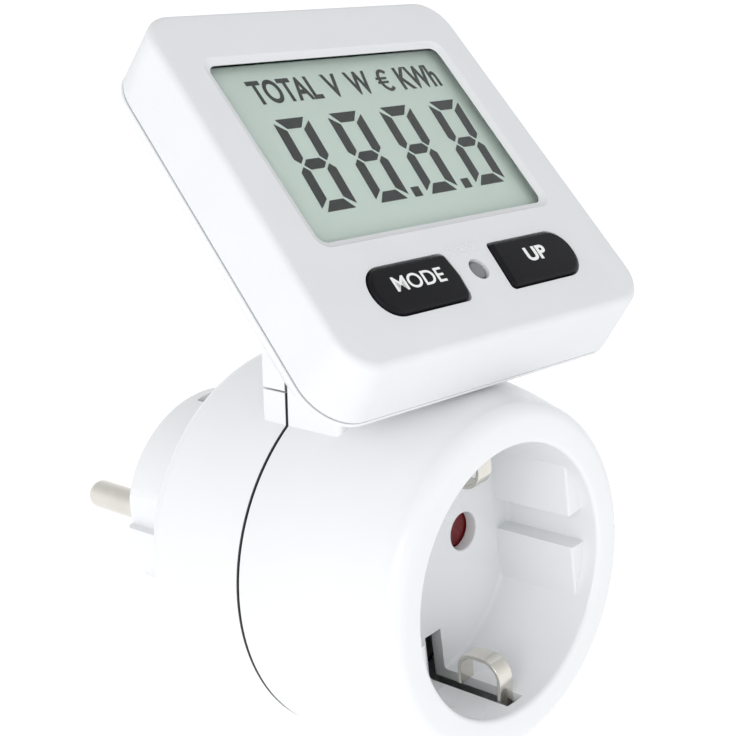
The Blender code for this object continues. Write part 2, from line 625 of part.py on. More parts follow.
# ---------------------------------------------------------------- child shutter
def make_shutter():
    """Two blades on a hub; both pins together turn it clear of the holes."""
    blade = PIN_SPACING / 2
    spread = 62
    half = (arc(0, 0, SHUTTER_HUB_R, -180 + spread, -spread, 3)
            + arc(blade, 0, SHUTTER_BLADE_R, -90, 90, 10))
    outline = half + [(-x, -y) for x, y in half]
    shutter = outline_solid("child_shutter", outline, SHUTTER_THICK,
                            (0, SHUTTER_DEPTH + SHUTTER_THICK / 2, 0), "XZ", RED, CORE)
    cut(shutter, cylinder("shutter_bore", POST_R + RUNNING, 4 * SHUTTER_THICK, (0, SHUTTER_DEPTH, 0),
                          frame=CORE, sides=20))
    spring_depth = CARRIER_DEPTH + CARRIER_THICK + GAP + 0.3 * MM
    ring = 2.5 * MM
    wire = 0.25 * MM
    turns = 2.5
    count = 30
    coil = [(ring * math.cos(2 * math.pi * turns * i / count), spring_depth + 0.75 * MM * turns * i / count,
             ring * math.sin(2 * math.pi * turns * i / count)) for i in range(count + 1)]
    coil.append((coil[-1][0] - 3.2 * MM, coil[-1][1], coil[-1][2]))
    curve = bpy.data.curves.new("shutter_spring", "CURVE")
    curve.dimensions = "3D"
    curve.bevel_depth = wire
    curve.bevel_resolution = 1
    curve.use_fill_caps = True
    line = curve.splines.new("POLY")
    line.points.add(len(coil) - 1)
    for point, co in zip(line.points, coil):
        point.co = (*co, 1)
    spring = bpy.data.objects.new("shutter_spring", curve)
    curve.materials.append(STEEL)
    spring.parent = CORE
    PARTS.objects.link(spring)


# ---------------------------------------------------------------- earth
def make_earth():
    """One strap each side runs from the plug's side contact to the clip in the well."""
    end = BARREL_LENGTH + PLUG_LENGTH
    board_back = MAIN_BOARD_DEPTH + MAIN_BOARD_THICK
    contact_end = end - 4.6 * MM
    inner = PLUG_R - PLUG_WALL - 1.2 * MM
    rise = board_back + 1.6 * MM
    corners = [(contact_end, inner, 0), (contact_end, STRAP_CONTACT, 0.8 * MM),
               (BARREL_LENGTH + 3.4 * MM, STRAP_CONTACT, 0.8 * MM), (BARREL_LENGTH + 2.6 * MM, inner, 0.8 * MM),
               (rise, inner, 0.8 * MM), (rise, STRAP_RUN, 1.0 * MM), (STRAP_TURN, STRAP_RUN, 0.9 * MM),
               (BOW_FRONT, (STRAP_RUN + BOW_HEIGHT) / 2 - 1 * MM, 1.5 * MM), (BOW_FRONT, BOW_HEIGHT, 3.0 * MM),
               (BOW_BACK, BOW_HEIGHT, 2.8 * MM), (BOW_BACK + 0.2 * MM, WELL_R - BOW_FOOT, 0)]
    path = []
    for i, corner in enumerate(corners):
        if corner[2] <= 0:
            path.append(corner[:2])
        else:
            path += rounded([corners[i - 1][:2] + (0,), corner, corners[i + 1][:2] + (0,)], 4)[1:-1]
    for name, side in (("earth_strap_upper", 1), ("earth_strap_lower", -1)):
        bent_strip(name, [(y, side * z) for y, z in path], STRAP_THICK, STRAP_WIDTH, (0, 0, 0), "YZ", NICKEL, CORE)
    inset = GAP + STRAP_THICK
    height = inner - inset
    bridge = [(board_back + 4.4 * MM, height), (board_back + 4.4 * MM, -height)]
    bent_strip("earth_bridge", bridge, STRAP_THICK, 5 * MM, (0, 0, 0), "YZ", BRASS, CORE)


# ---------------------------------------------------------------- metering board
def make_main_board():
    board = cylinder("metering_board", MAIN_BOARD_R, MAIN_BOARD_THICK,
                     (0, MAIN_BOARD_DEPTH + MAIN_BOARD_THICK / 2, 0), paint=BOARD, frame=CORE, sides=48)
    cut(board, box("board_flat", (30 * MM, 4 * MM, 6 * MM), (0, MAIN_BOARD_DEPTH, -MAIN_BOARD_R - 1 * MM), frame=CORE))
    front = MAIN_BOARD_DEPTH - GAP
    back = MAIN_BOARD_DEPTH + MAIN_BOARD_THICK + GAP
    box("film_capacitor", (15 * MM, 8 * MM, 7 * MM), (0, front - 4 * MM, -11.4 * MM), FILM, CORE, 0.5 * MM)
    cap = 3.15 * MM
    turned("smoothing_capacitor", [(0, front), (cap, front), (cap, front - 1.0 * MM), (cap - 0.3 * MM, front - 1.4 * MM),
                                   (cap, front - 1.8 * MM), (cap, front - 8 * MM), (0, front - 8 * MM)],
           DARK_PART, (-8.2 * MM, 0, 11.2 * MM), frame=CORE, steps=20)
    varistor = cylinder("varistor", 4.2 * MM, 3.0 * MM, (-0.4 * MM, front - 4.4 * MM, 9.4 * MM), "X",
                        DISC_BLUE, CORE, 20)
    edge = varistor.modifiers.new("edges", "BEVEL")
    edge.width = 0.7 * MM
    edge.segments = 2
    box("metering_chip", (6.2 * MM, 1.6 * MM, 5.0 * MM), (0, back + 0.8 * MM, 7.2 * MM), DARK_PART, CORE, 0.2 * MM)
    span = 4.6 * MM
    shunt = rounded([(-span, front, 0), (-span, front - 3 * MM, 0.9 * MM), (span, front - 3 * MM, 0.9 * MM),
                     (span, front, 0)], 4)
    bent_strip("current_shunt", shunt, 0.6 * MM, 2.4 * MM, (0, 0, 0.4 * MM), "XY", MANGANIN, CORE)
    box("ribbon_socket_main", (RIBBON_WIDTH + 1.6 * MM, 5 * MM, 3.6 * MM),
        (RIBBON_X, front - 2.5 * MM, 14.6 * MM), NATURAL, BODY, 0.3 * MM)


# ---------------------------------------------------------------- display head
def head_outline(depth, inset=0.0, lift=0.0, steps=5):
    """The head's outline at a depth behind the face, moved in by an inset, its lower edge by a lift too."""
    share = min(depth / BEZEL_DEPTH, 1.0)
    bottom = FACE_WIDTH_BOTTOM / 2 + share * JOINT_SIDE_BOTTOM - inset
    top = FACE_WIDTH_TOP / 2 + share * JOINT_SIDE_TOP - inset
    low = FACE_HEIGHT / 2 + share * JOINT_DROP - inset - lift
    high = FACE_HEIGHT / 2 + share * JOINT_RISE - inset
    radius = max(FACE_CORNER + share * JOINT_CORNER - 0.7 * inset, 1.0 * MM)
    return rounded([(-bottom, -low, radius), (bottom, -low, radius), (top, high, radius), (-top, high, radius)], steps)


def mode_outline(grow=0.0):
    left, right = MODE_LEFT - grow, MODE_RIGHT + grow
    top, bottom = BUTTON_TOP + grow, BUTTON_BOTTOM - grow
    middle = (top + bottom) / 2
    return rounded([(left, bottom, 3.7 * MM + grow), (right - 0.4 * MM, bottom, 1.2 * MM), (right, middle, 1.5 * MM),
                    (right - 0.6 * MM, top, 1.0 * MM), (left, top, 3.7 * MM + grow)], 6)


def up_outline(grow=0.0):
    left, right = UP_LEFT - grow, UP_RIGHT + grow
    top, bottom = BUTTON_TOP + grow, BUTTON_BOTTOM - grow
    return rounded([(left, bottom, 0.8 * MM), (right, bottom, 3.6 * MM + grow), (right, top, 3.6 * MM + grow),
                    (left + 0.5 * MM, top, 0.8 * MM)], 6)


def head_plate(name, outline, front, thickness, paint=None):
    """A plate on the head, its outline taken from the face centre, its front at a depth."""
    return outline_solid(name, outline, thickness, on_head(0, front + thickness / 2, 0), "XZ", paint, HEAD)


def head_screw_places():
    top = (FACE_WIDTH_TOP / 2 - HEAD_SCREW_IN, FACE_HEIGHT / 2 - HEAD_SCREW_DOWN)
    low = (FACE_WIDTH_BOTTOM / 2 - HEAD_SCREW_IN, HEAD_SCREW_UP - FACE_HEIGHT / 2)
    return [(side * x, z) for x, z in (top, low) for side in (-1, 1)]


def make_bezel():
    sections = [(0, head_outline(0, 0.8 * MM)), (0.25 * MM, head_outline(0, 0.2 * MM)),
                (1.0 * MM, head_outline(1.0 * MM)), (BEZEL_DEPTH, head_outline(BEZEL_DEPTH))]
    bezel = lofted("head_bezel", sections, FACE_WHITE, on_head(0, 0, 0), HEAD)
    inner = [(FACE_THICK, head_outline(FACE_THICK, HEAD_WALL)),
             (BEZEL_DEPTH, head_outline(BEZEL_DEPTH, HEAD_WALL)),
             (BEZEL_DEPTH + 1 * MM, head_outline(BEZEL_DEPTH, HEAD_WALL))]
    cut(bezel, lofted("bezel_hollow", inner, None, on_head(0, 0, 0), HEAD))
    shoulder = BOARD_FRONT - GAP
    for i, (x, z) in enumerate(head_screw_places()):
        length = shoulder - FACE_THICK + 0.5 * MM
        add(bezel, cylinder(f"bezel_post_{i}", 2.2 * MM, length,
                            on_head(x, FACE_THICK - 0.5 * MM + length / 2, z), frame=HEAD, sides=16))
        cut(bezel, cylinder(f"bezel_pilot_{i}", SCREW_D / 2 + GAP, 6 * MM, on_head(x, shoulder - 1 * MM, z),
                            frame=HEAD, sides=16))
    window = [(-0.2 * MM, rectangle(WINDOW_WIDTH + 2.6 * WINDOW_BEVEL, WINDOW_HEIGHT + 2.6 * WINDOW_BEVEL,
                                    WINDOW_CORNER + WINDOW_BEVEL, 0, WINDOW_CENTRE)),
              (WINDOW_LIP + 0.2 * MM, rectangle(WINDOW_WIDTH - 0.4 * MM, WINDOW_HEIGHT - 0.4 * MM, WINDOW_CORNER,
                                                0, WINDOW_CENTRE))]
    pocket = rectangle(WINDOW_WIDTH + 2 * LENS_MARGIN + 2 * GAP, WINDOW_HEIGHT + 2 * LENS_MARGIN + 2 * GAP,
                       1 * MM, 0, WINDOW_CENTRE)
    cut(bezel, lofted("window_opening", window, None, on_head(0, 0, 0), HEAD),
        head_plate("lens_pocket", pocket, WINDOW_LIP, 3 * MM),
        head_plate("mode_hole", mode_outline(GAP), -1 * MM, 4 * MM),
        head_plate("up_hole", up_outline(GAP), -1 * MM, 4 * MM),
        cylinder("reset_hole", RESET_D / 2, 6 * MM, on_head(RESET_X, 1 * MM, RESET_Z), frame=HEAD, sides=24))
    return bezel


def make_back_cover():
    seam = BEZEL_DEPTH + GAP
    rim = seam + BACK_RIM
    sections = [(seam, head_outline(BEZEL_DEPTH)), (rim, head_outline(BEZEL_DEPTH)),
                (BACK_DEPTH - 0.5 * MM, head_outline(BEZEL_DEPTH, 0.55 * BACK_SLOPE, 0.65 * BACK_LIFT)),
                (BACK_DEPTH, head_outline(BEZEL_DEPTH, BACK_SLOPE, BACK_LIFT))]
    cover = lofted("head_back_cover", sections, WHITE, on_head(0, 0, 0), HEAD)
    hollow = [(seam - 1 * MM, head_outline(BEZEL_DEPTH, HEAD_WALL)), (rim, head_outline(BEZEL_DEPTH, HEAD_WALL)),
              (BACK_DEPTH - COVER_WALL, head_outline(BEZEL_DEPTH, HEAD_WALL + 0.3 * BACK_SLOPE, 0.65 * BACK_LIFT))]
    cut(cover, lofted("cover_hollow", hollow, None, on_head(0, 0, 0), HEAD))
    foot = BACK_DEPTH - FACE_FORWARD - 1.2 * MM
    lug = [(foot, -LUG_FOOT)] + arc(0, 0, HINGE_R, -100, 100, 14) + [(foot, LUG_FOOT)]
    for side in (-1, 1):
        add(cover, outline_solid(f"hinge_lug_{side}", lug, LUG_THICK,
                                 (side * (LUG_START + LUG_THICK / 2), 0, 0), "YZ", frame=HEAD))
    tube_front = BOARD_FRONT + BOARD_THICK + GAP
    for i, (x, z) in enumerate(head_screw_places()):
        length = BACK_DEPTH - 0.6 * MM - tube_front
        add(cover, cylinder(f"cover_tube_{i}", 2.6 * MM, length, on_head(x, tube_front + length / 2, z),
                            frame=HEAD, sides=16))
    for i, (x, z) in enumerate(head_screw_places()):
        cut(cover, cylinder(f"cover_bore_{i}", SCREW_D / 2 + GAP, 12 * MM, on_head(x, BACK_DEPTH, z),
                            frame=HEAD, sides=16),
            cylinder(f"cover_seat_{i}", SCREW_HEAD_D / 2 + GAP, 6 * MM,
                     on_head(x, BACK_DEPTH + 3 * MM - SCREW_HEAD_THICK - 2 * GAP, z), frame=HEAD, sides=20))
    slot = box("ribbon_slot", (RIBBON_WIDTH + 2 * GAP, 8 * MM, 3.0 * MM),
               (RIBBON_X, BACK_DEPTH - FACE_FORWARD, 0), frame=HEAD)
    cut(cover, slot, hinge_pin_bore("lug_bore", HEAD, (0, 0, 0)))
    return cover


def make_head_screws():
    for i, (x, z) in enumerate(head_screw_places()):
        make_screw(f"head_screw_{i + 1}", BACK_DEPTH - BOARD_FRONT + 1.0 * MM, on_head(x, BACK_DEPTH - 2 * GAP, z), HEAD)


def make_hinge_hardware():
    inner = KNUCKLE_HALF - KNUCKLE_WALL + 0.4 * MM
    outer = LUG_START + LUG_THICK + GAP
    shaft, cap = HINGE_PIN_D / 2, HINGE_PIN_HEAD_D / 2
    profile = [(0, outer + 1.0 * MM), (cap - 0.3 * MM, outer + 1.0 * MM), (cap, outer + 0.7 * MM), (cap, outer),
               (shaft, outer), (shaft, inner + 0.4 * MM), (shaft - 0.4 * MM, inner), (0, inner)]
    washer_mid = (KNUCKLE_HALF + LUG_START) / 2
    half = WASHER_THICK / 2
    ring = [(4.3 * MM, half), (4.3 * MM, -half), (shaft + RUNNING, -half), (shaft + RUNNING, half)]
    hinge = (0, HINGE_DEPTH, HINGE_HEIGHT)
    for name, side in (("left", -1), ("right", 1)):
        pin = turned(f"hinge_pin_{name}", profile, STEEL, hinge, "X", BODY, 16)
        pin.rotation_euler = (0, side * math.pi / 2, 0)
        turned(f"friction_washer_{name}", ring, STEEL, (side * washer_mid, HINGE_DEPTH, HINGE_HEIGHT), "X", BODY, 16)


def make_display():
    lens = rectangle(WINDOW_WIDTH + 2 * LENS_MARGIN, WINDOW_HEIGHT + 2 * LENS_MARGIN, 0.8 * MM, 0, WINDOW_CENTRE)
    head_plate("display_lens", lens, LENS_DEPTH, LENS_THICK, LENS)
    cell = rectangle(WINDOW_WIDTH + 2 * LCD_SIDE, WINDOW_HEIGHT + 2 * LCD_MARGIN, 0.3 * MM, 0, WINDOW_CENTRE, 1)
    head_plate("display_cell", cell, LCD_DEPTH, LCD_THICK, GLASS)
    strip_front = LCD_DEPTH + LCD_THICK + GAP
    strip_depth = BOARD_FRONT - GAP - strip_front
    strip_height = WINDOW_CENTRE - WINDOW_HEIGHT / 2 - LCD_MARGIN + 1.3 * MM
    box("zebra_strip", (WINDOW_WIDTH - 4 * MM, strip_depth, 2.0 * MM),
        on_head(0, strip_front + strip_depth / 2, strip_height), RUBBER, HEAD)
    board = head_plate("display_board", head_outline(BOARD_FRONT, HEAD_WALL + BOARD_MARGIN), BOARD_FRONT, BOARD_THICK, BOARD)
    for i, (x, z) in enumerate(head_screw_places()):
        cut(board, cylinder(f"board_hole_{i}", SCREW_D / 2 + GAP, 4 * MM, on_head(x, BOARD_FRONT, z),
                            frame=HEAD, sides=16))
    back = BOARD_FRONT + BOARD_THICK + GAP
    box("ribbon_socket_head", (RIBBON_WIDTH + 1.6 * MM, 1.2 * MM, 3.6 * MM),
        on_head(RIBBON_X, back + 0.6 * MM, -HEAD_CENTRE), NATURAL, HEAD)
    box("display_chip", (9 * MM, 1.3 * MM, 9 * MM), on_head(-11 * MM, back + 0.65 * MM, 6 * MM), DARK_PART, HEAD,
        0.2 * MM)
    cell = cylinder("backup_battery", 5.6 * MM, 1.4 * MM, on_head(11 * MM, back + 0.75 * MM, 12 * MM), "Y",
                    STEEL, HEAD, 24)
    edge = cell.modifiers.new("edges", "BEVEL")
    edge.width = 0.25 * MM
    edge.segments = 1


# ---------------------------------------------------------------- keys
def make_key(name, outline, flange, x, z, proud, paint):
    """A key: a cap through the face, a flange behind it, and the plunger of its switch."""
    flange_front = FACE_THICK + GAP
    cap_depth = flange_front + 0.2 * MM + proud
    key = head_plate(name + "_button", outline, -proud, cap_depth, paint)
    add(key, head_plate(name + "_flange", flange, flange_front, BUTTON_FLANGE_THICK))
    switch_front = BOARD_FRONT - GAP - SWITCH_THICK
    stem_front = flange_front + BUTTON_FLANGE_THICK
    plunger_front = stem_front + GAP
    plunger = switch_front + 1.6 * MM - plunger_front
    cylinder(name + "_switch_plunger", PLUNGER_D / 2, plunger, on_head(x, plunger_front + plunger / 2, z),
             "Y", NATURAL, HEAD, 16)
    switch = box(name + "_switch", (SWITCH_SIZE, SWITCH_THICK, SWITCH_SIZE),
                 on_head(x, switch_front + SWITCH_THICK / 2, z), DARK_PART, HEAD, 0.2 * MM)
    well = 1.6 * MM + BUTTON_TRAVEL + GAP
    cut(switch, cylinder(name + "_switch_well", PLUNGER_D / 2 + RUNNING, 2 * well, on_head(x, switch_front, z),
                         frame=HEAD, sides=16))


def make_keys():
    middle = (BUTTON_TOP + BUTTON_BOTTOM) / 2
    make_key("mode", mode_outline(), mode_outline(BUTTON_FLANGE), (MODE_LEFT + MODE_RIGHT) / 2, middle,
             BUTTON_PROUD, BLACK)
    make_key("up", up_outline(), up_outline(BUTTON_FLANGE), (UP_LEFT + UP_RIGHT) / 2, middle, BUTTON_PROUD, BLACK)
    reset = RESET_D / 2 - GAP
    pin = [(RESET_X + x, RESET_Z + z) for x, z in arc(0, 0, reset, 0, 345, 23)]
    flange = rectangle(5.0 * MM, 5.4 * MM, 0.5 * MM, RESET_X, RESET_Z, 2)
    make_key("reset", pin, flange, RESET_X, RESET_Z, -RESET_SUNK, GREY)


# ---------------------------------------------------------------- ribbon between the boards
def make_ribbon():
    lower = rounded([(MAIN_BOARD_DEPTH - 3.5 * MM, 16.8 * MM, 0), (MAIN_BOARD_DEPTH - 3.5 * MM, 21.5 * MM, 2 * MM),
                     (HINGE_DEPTH, 25.5 * MM, 3 * MM), (HINGE_DEPTH, HINGE_HEIGHT - 0.6 * MM, 0)], 5)
    bent_strip("ribbon_cable_lower", lower, RIBBON_THICK, RIBBON_WIDTH, (RIBBON_X, 0, 0), "YZ", RIBBON, BODY)
    inner_end = BOARD_FRONT + BOARD_THICK + 2 * GAP + 1.2 * MM - FACE_FORWARD
    bent_strip("ribbon_cable_upper", [(-0.7 * MM, 0), (inner_end, 0)], RIBBON_THICK, RIBBON_WIDTH,
               (RIBBON_X, 0, 0), "YZ", RIBBON, HEAD)


make_front_shell()
make_rear_shell()
make_case_screws()
make_plug_pins()
make_contacts()
make_contact_carrier()
make_shutter()
make_earth()
make_main_board()
make_bezel()
make_back_cover()
make_head_screws()
make_hinge_hardware()
make_display()
make_keys()
make_ribbon()
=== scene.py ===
# %% [markdown]
# # A plug-in power meter
#
# The meter is a round body with an earthed socket in front and a plug behind. A neck on top
# carries a flat display head that tilts. The engineering model gives every piece its place, so
# this lesson only adds what the eye sees: fine curves, soft edges, printed signs and finishes.

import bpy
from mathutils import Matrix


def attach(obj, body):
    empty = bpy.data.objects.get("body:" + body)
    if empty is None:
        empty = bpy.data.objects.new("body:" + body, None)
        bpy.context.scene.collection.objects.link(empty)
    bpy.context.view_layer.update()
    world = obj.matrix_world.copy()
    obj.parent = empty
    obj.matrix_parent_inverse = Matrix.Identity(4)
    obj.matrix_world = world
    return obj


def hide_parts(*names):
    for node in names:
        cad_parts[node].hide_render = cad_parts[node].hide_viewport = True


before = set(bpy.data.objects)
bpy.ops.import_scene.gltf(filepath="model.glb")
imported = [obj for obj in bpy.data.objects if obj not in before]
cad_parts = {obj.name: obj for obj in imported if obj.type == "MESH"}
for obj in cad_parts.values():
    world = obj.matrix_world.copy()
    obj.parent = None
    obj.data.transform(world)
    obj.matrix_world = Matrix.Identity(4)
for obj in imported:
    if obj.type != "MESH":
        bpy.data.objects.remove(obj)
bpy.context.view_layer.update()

# %% [markdown]
# ## Sizes
#
# All lengths are written in millimetres, since that is how such a housing is drawn, and are
# turned into Blender's metres once, where a mesh is made. Depths inside the round body count
# from its front ring, and depths in the head count from its face.

# %% Imports and the main sizes
import math

import bmesh
import bpy
from mathutils import Matrix, Vector

MM = 0.001
PLUG_END = 65.3                    # how far behind the front ring the plug's body ends
RING = -PLUG_END                   # the front ring's place, since the plug's end is at zero
BARREL_R, FRONT_R = 28.8, 26.2     # the barrel at its widest and at its front ring
SEAM, SHELL_GAP = 27.3, 0.3        # where the front shell ends, and the gap to the rear one
SHOULDER = 48.5                    # where the barrel ends
WALL = 2.2                         # the wall of both shells
WELL_R, WELL_DEPTH, FLOOR = 20.3, 17.5, 2.0
SOCKET_TURN = -8                   # the socket sits turned in the body, in degrees
PIN_OFFSET = 9.5                   # a pin's distance from the axis
NECK_HALF, NECK_FRONT, NECK_BACK, NECK_TOP, NECK_SPLIT = 18.0, 17.0, 32.8, 34.3, 27.5
HINGE_DEPTH, HINGE_HEIGHT, HINGE_R = 27.8, 40.1, 5.0
FACE_TILT = 43.3                   # how far the face leans back, in degrees
FACE_FORWARD, FACE_RAISE = 18.2, 8.5
print("the body is", 2 * BARREL_R, "mm across and the face leans back", FACE_TILT, "degrees")

# %% [markdown]
# ## Three drawing frames
#
# Each group of pieces is easiest to draw in its own frame. The body's frame starts at the front
# ring. The socket's frame is the same, turned eight degrees about the axis, because the socket sits
# turned in the body. The head's frame sits on the hinge and leans with the face.

# %% The frames as matrices
def moved(frame_matrix, x, depth, height):
    """A frame moved by millimetres along its own directions."""
    return frame_matrix @ Matrix.Translation((x * MM, depth * MM, height * MM))


BODY = Matrix.Translation((0, RING * MM, 0))
SOCKET = BODY @ Matrix.Rotation(math.radians(SOCKET_TURN), 4, "Y")
HINGE = moved(BODY, 0, HINGE_DEPTH, HINGE_HEIGHT)
HEAD = HINGE @ Matrix.Rotation(-math.radians(FACE_TILT), 4, "X")


def on_head(x, depth, height):
    """A place on the head: across, behind the face, and above the middle of the face."""
    return (x, depth - FACE_FORWARD, height + FACE_RAISE)


print("hinge at", [round(v * 1000, 1) for v in HEAD.translation])

# %% [markdown]
# ## Outlines
#
# Moulded pieces are mostly outlines with rounded corners. One function turns corner points into
# tangent arcs, and another moves a finished outline inwards, which is how a soft edge is drawn:
# the outline shrinks a little as it rises.

# %% Outline helpers
def arc(cx, cy, radius, start, end, steps):
    """Points on an arc round (cx, cy), from a start angle to an end angle in degrees."""
    angles = [math.radians(start + (end - start) * i / steps) for i in range(steps + 1)]
    return [(cx + radius * math.cos(a), cy + radius * math.sin(a)) for a in angles]


def rounded(corners, steps=10):
    """An outline through (x, y, radius) corners."""
    points = []
    for i, (x, y, radius) in enumerate(corners):
        px, py, _ = corners[i - 1]
        nx, ny, _ = corners[(i + 1) % len(corners)]
        back, ahead = math.atan2(py - y, px - x), math.atan2(ny - y, nx - x)
        if radius <= 0:
            points.append((x, y))
            continue
        half = (ahead - back) / 2
        reach = radius / abs(math.tan(half))
        start = (x + reach * math.cos(back), y + reach * math.sin(back))
        end = (x + reach * math.cos(ahead), y + reach * math.sin(ahead))
        bisect = math.atan2(math.sin(back) + math.sin(ahead), math.cos(back) + math.cos(ahead))
        middle = math.hypot(reach, radius)
        cx, cy = x + middle * math.cos(bisect), y + middle * math.sin(bisect)
        first = math.atan2(start[1] - cy, start[0] - cx)
        sweep = (math.atan2(end[1] - cy, end[0] - cx) - first + math.pi) % (2 * math.pi) - math.pi
        points += [(cx + radius * math.cos(first + sweep * k / steps),
                    cy + radius * math.sin(first + sweep * k / steps)) for k in range(steps + 1)]
    return points


def rectangle(width, height, radius, x=0.0, y=0.0, steps=10):
    w, h = width / 2, height / 2
    return rounded([(x - w, y - h, radius), (x + w, y - h, radius),
                    (x + w, y + h, radius), (x - w, y + h, radius)], steps)


def inset(points, amount):
    """The same outline, moved inwards by an amount, for outlines drawn anticlockwise."""
    smaller = []
    for i, (x, y) in enumerate(points):
        ax, ay = points[i - 1]
        bx, by = points[(i + 1) % len(points)]
        dx, dy = bx - ax, by - ay
        size = math.hypot(dx, dy) or 1.0
        smaller.append((x - dy / size * amount, y + dx / size * amount))
    return smaller


print("a rounded rectangle has", len(rectangle(10, 10, 2)), "points")

# %% [markdown]
# ## Solids
#
# Three makers cover nearly every piece. A lathe turns a profile round the socket's axis, a loft
# joins like outlines at different depths, and a prism is a loft with two. Each gives a plain
# closed mesh, so that Boolean modifiers can join and cut them cleanly.

# %% From vertices to a piece
CREASE = math.radians(32)          # an edge that turns more than this stays crisp in the shading


def shown(bm, name, matrix, body=None, finish=None):
    """Turn a bmesh drawn in millimetres into an object that rides on a body of the model."""
    bmesh.ops.scale(bm, vec=(MM, MM, MM), verts=bm.verts)
    bmesh.ops.recalc_face_normals(bm, faces=bm.faces)
    mesh = bpy.data.meshes.new(name)
    bm.to_mesh(mesh)
    bm.free()
    mesh.shade_smooth()
    mesh.set_sharp_from_angle(angle=CREASE)
    piece = bpy.data.objects.new(name, mesh)
    bpy.context.scene.collection.objects.link(piece)
    piece.matrix_world = matrix
    if finish:
        mesh.materials.append(finish)
    if body:
        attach(piece, body)
    return piece


def loft_mesh(sections):
    """Skin over like outlines: (depth, [(x, z), ...]) one behind the other."""
    bm = bmesh.new()
    rings = [[bm.verts.new((x, depth, z)) for x, z in outline] for depth, outline in sections]
    for low, high in zip(rings, rings[1:]):
        for i in range(len(low)):
            j = (i + 1) % len(low)
            bm.faces.new((low[i], low[j], high[j], high[i]))
    bm.faces.new(rings[0])
    bm.faces.new(rings[-1])
    return bm


def lathe_mesh(profile, steps=128):
    """Turn (radius, depth) points round the Y axis. Ends at radius 0 close themselves."""
    bm = bmesh.new()
    closed = profile[0][0] > 0 and profile[-1][0] > 0
    turns = [2 * math.pi * i / steps for i in range(steps)]
    rings = []
    for radius, depth in profile:
        if radius <= 0:
            rings.append([bm.verts.new((0, depth, 0))])
            continue
        rings.append([bm.verts.new((radius * math.cos(t), depth, radius * math.sin(t))) for t in turns])
    pairs = list(zip(rings, rings[1:])) + ([(rings[-1], rings[0])] if closed else [])
    for low, high in pairs:
        for i in range(steps):
            j = (i + 1) % steps
            corners = [low[i % len(low)], low[j % len(low)], high[j % len(high)], high[i % len(high)]]
            corners = [v for k, v in enumerate(corners) if v not in corners[:k]]
            if len(corners) > 2:
                bm.faces.new(corners)
    return bm


def box_mesh(size, centre, radius=0.0, segments=3, turn=None):
    """A block, with soft edges if it has a radius, turned about its own middle if it has a turn."""
    bm = bmesh.new()
    bmesh.ops.create_cube(bm, size=1.0)
    bmesh.ops.scale(bm, vec=size, verts=bm.verts)
    if radius:
        bmesh.ops.bevel(bm, geom=list(bm.edges), offset=radius, segments=segments, profile=0.5,
                        affect="EDGES")
    if turn:
        bmesh.ops.rotate(bm, cent=(0, 0, 0), matrix=turn, verts=bm.verts)
    bmesh.ops.translate(bm, vec=centre, verts=bm.verts)
    return bm


def rod_mesh(radius, length, centre, axis="Y", sides=48):
    """A round rod along Y, or along X."""
    bm = bmesh.new()
    bmesh.ops.create_cone(bm, cap_ends=True, segments=sides, radius1=radius, radius2=radius, depth=length)
    turn = {"X": Matrix.Rotation(math.pi / 2, 3, "Y"), "Y": Matrix.Rotation(-math.pi / 2, 3, "X")}[axis]
    bmesh.ops.rotate(bm, cent=(0, 0, 0), matrix=turn, verts=bm.verts)
    bmesh.ops.translate(bm, vec=centre, verts=bm.verts)
    return bm


def along_x(points, half, x=0.0):
    """A prism whose outline is drawn as (depth, height) and whose thickness runs across."""
    bm = loft_mesh([(-half, points), (half, points)])
    for v in bm.verts:
        across, depth, height = v.co.y, v.co.x, v.co.z
        v.co = (across + x, depth, height)
    return bm


print("solid makers ready")

# %% [markdown]
# ## Joining and cutting
#
# The housing is one moulding with posts, slots and holes, so its body is joined and cut with
# Boolean modifiers. They are applied at once, and the cutting shapes are thrown away.

# %% Boolean helpers
WELD, SLIVER = 0.003 * MM, 0.002 * MM     # corners this close are joined, and edges this short go


def settle(piece):
    """Apply the modifiers of a piece and drop its helper shapes."""
    helpers = [m.object for m in piece.modifiers if m.type == "BOOLEAN"]
    bpy.context.view_layer.update()
    done = bpy.data.meshes.new_from_object(piece.evaluated_get(bpy.context.evaluated_depsgraph_get()))
    piece.modifiers.clear()
    piece.data = done
    for helper in helpers:
        bpy.data.objects.remove(helper, do_unlink=True)
    bm = bmesh.new()
    bm.from_mesh(done)
    bmesh.ops.remove_doubles(bm, verts=bm.verts, dist=WELD)
    bmesh.ops.dissolve_degenerate(bm, edges=bm.edges, dist=SLIVER)
    bm.to_mesh(done)
    bm.free()
    done.shade_smooth()
    done.set_sharp_from_angle(angle=CREASE)
    return piece


def stack(piece, operation, helper):
    """Add a Boolean modifier that joins a helper object to a piece, or cuts it out."""
    step = piece.modifiers.new(operation.lower(), "BOOLEAN")
    step.operation = operation
    step.solver = "EXACT"
    step.object = helper


def combine(piece, operation, shapes):
    """Join shapes to a piece or cut them out, each a mesh and the frame that it is drawn in."""
    for bm, matrix in shapes:
        stack(piece, operation, shown(bm, "cutting_shape", matrix))
    return settle(piece)


def ease_edges(piece, width=0.15):
    """Round the hard edges that a mould never leaves perfectly sharp."""
    step = piece.modifiers.new("eased_edges", "BEVEL")
    step.width = width * MM
    step.segments = 2
    step.limit_method = "ANGLE"
    step.angle_limit = math.radians(50)
    step.harden_normals = True


def fit_out(piece, body, node, paint):
    """Give a joined piece its finish and its body, and hide the node that it stands for."""
    piece.data.materials.append(paint)
    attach(piece, body)
    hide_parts(node)


print("Boolean helpers ready")

# %% [markdown]
# ## Fine surfaces as shared shader groups
#
# No moulded surface is perfectly even. Two groups describe that. The first is the fine spark
# texture and the slow unevenness of moulded plastic. The second is the drawn, slightly scratched
# surface of bent or turned metal. Both only give patterns; each material decides what they do.

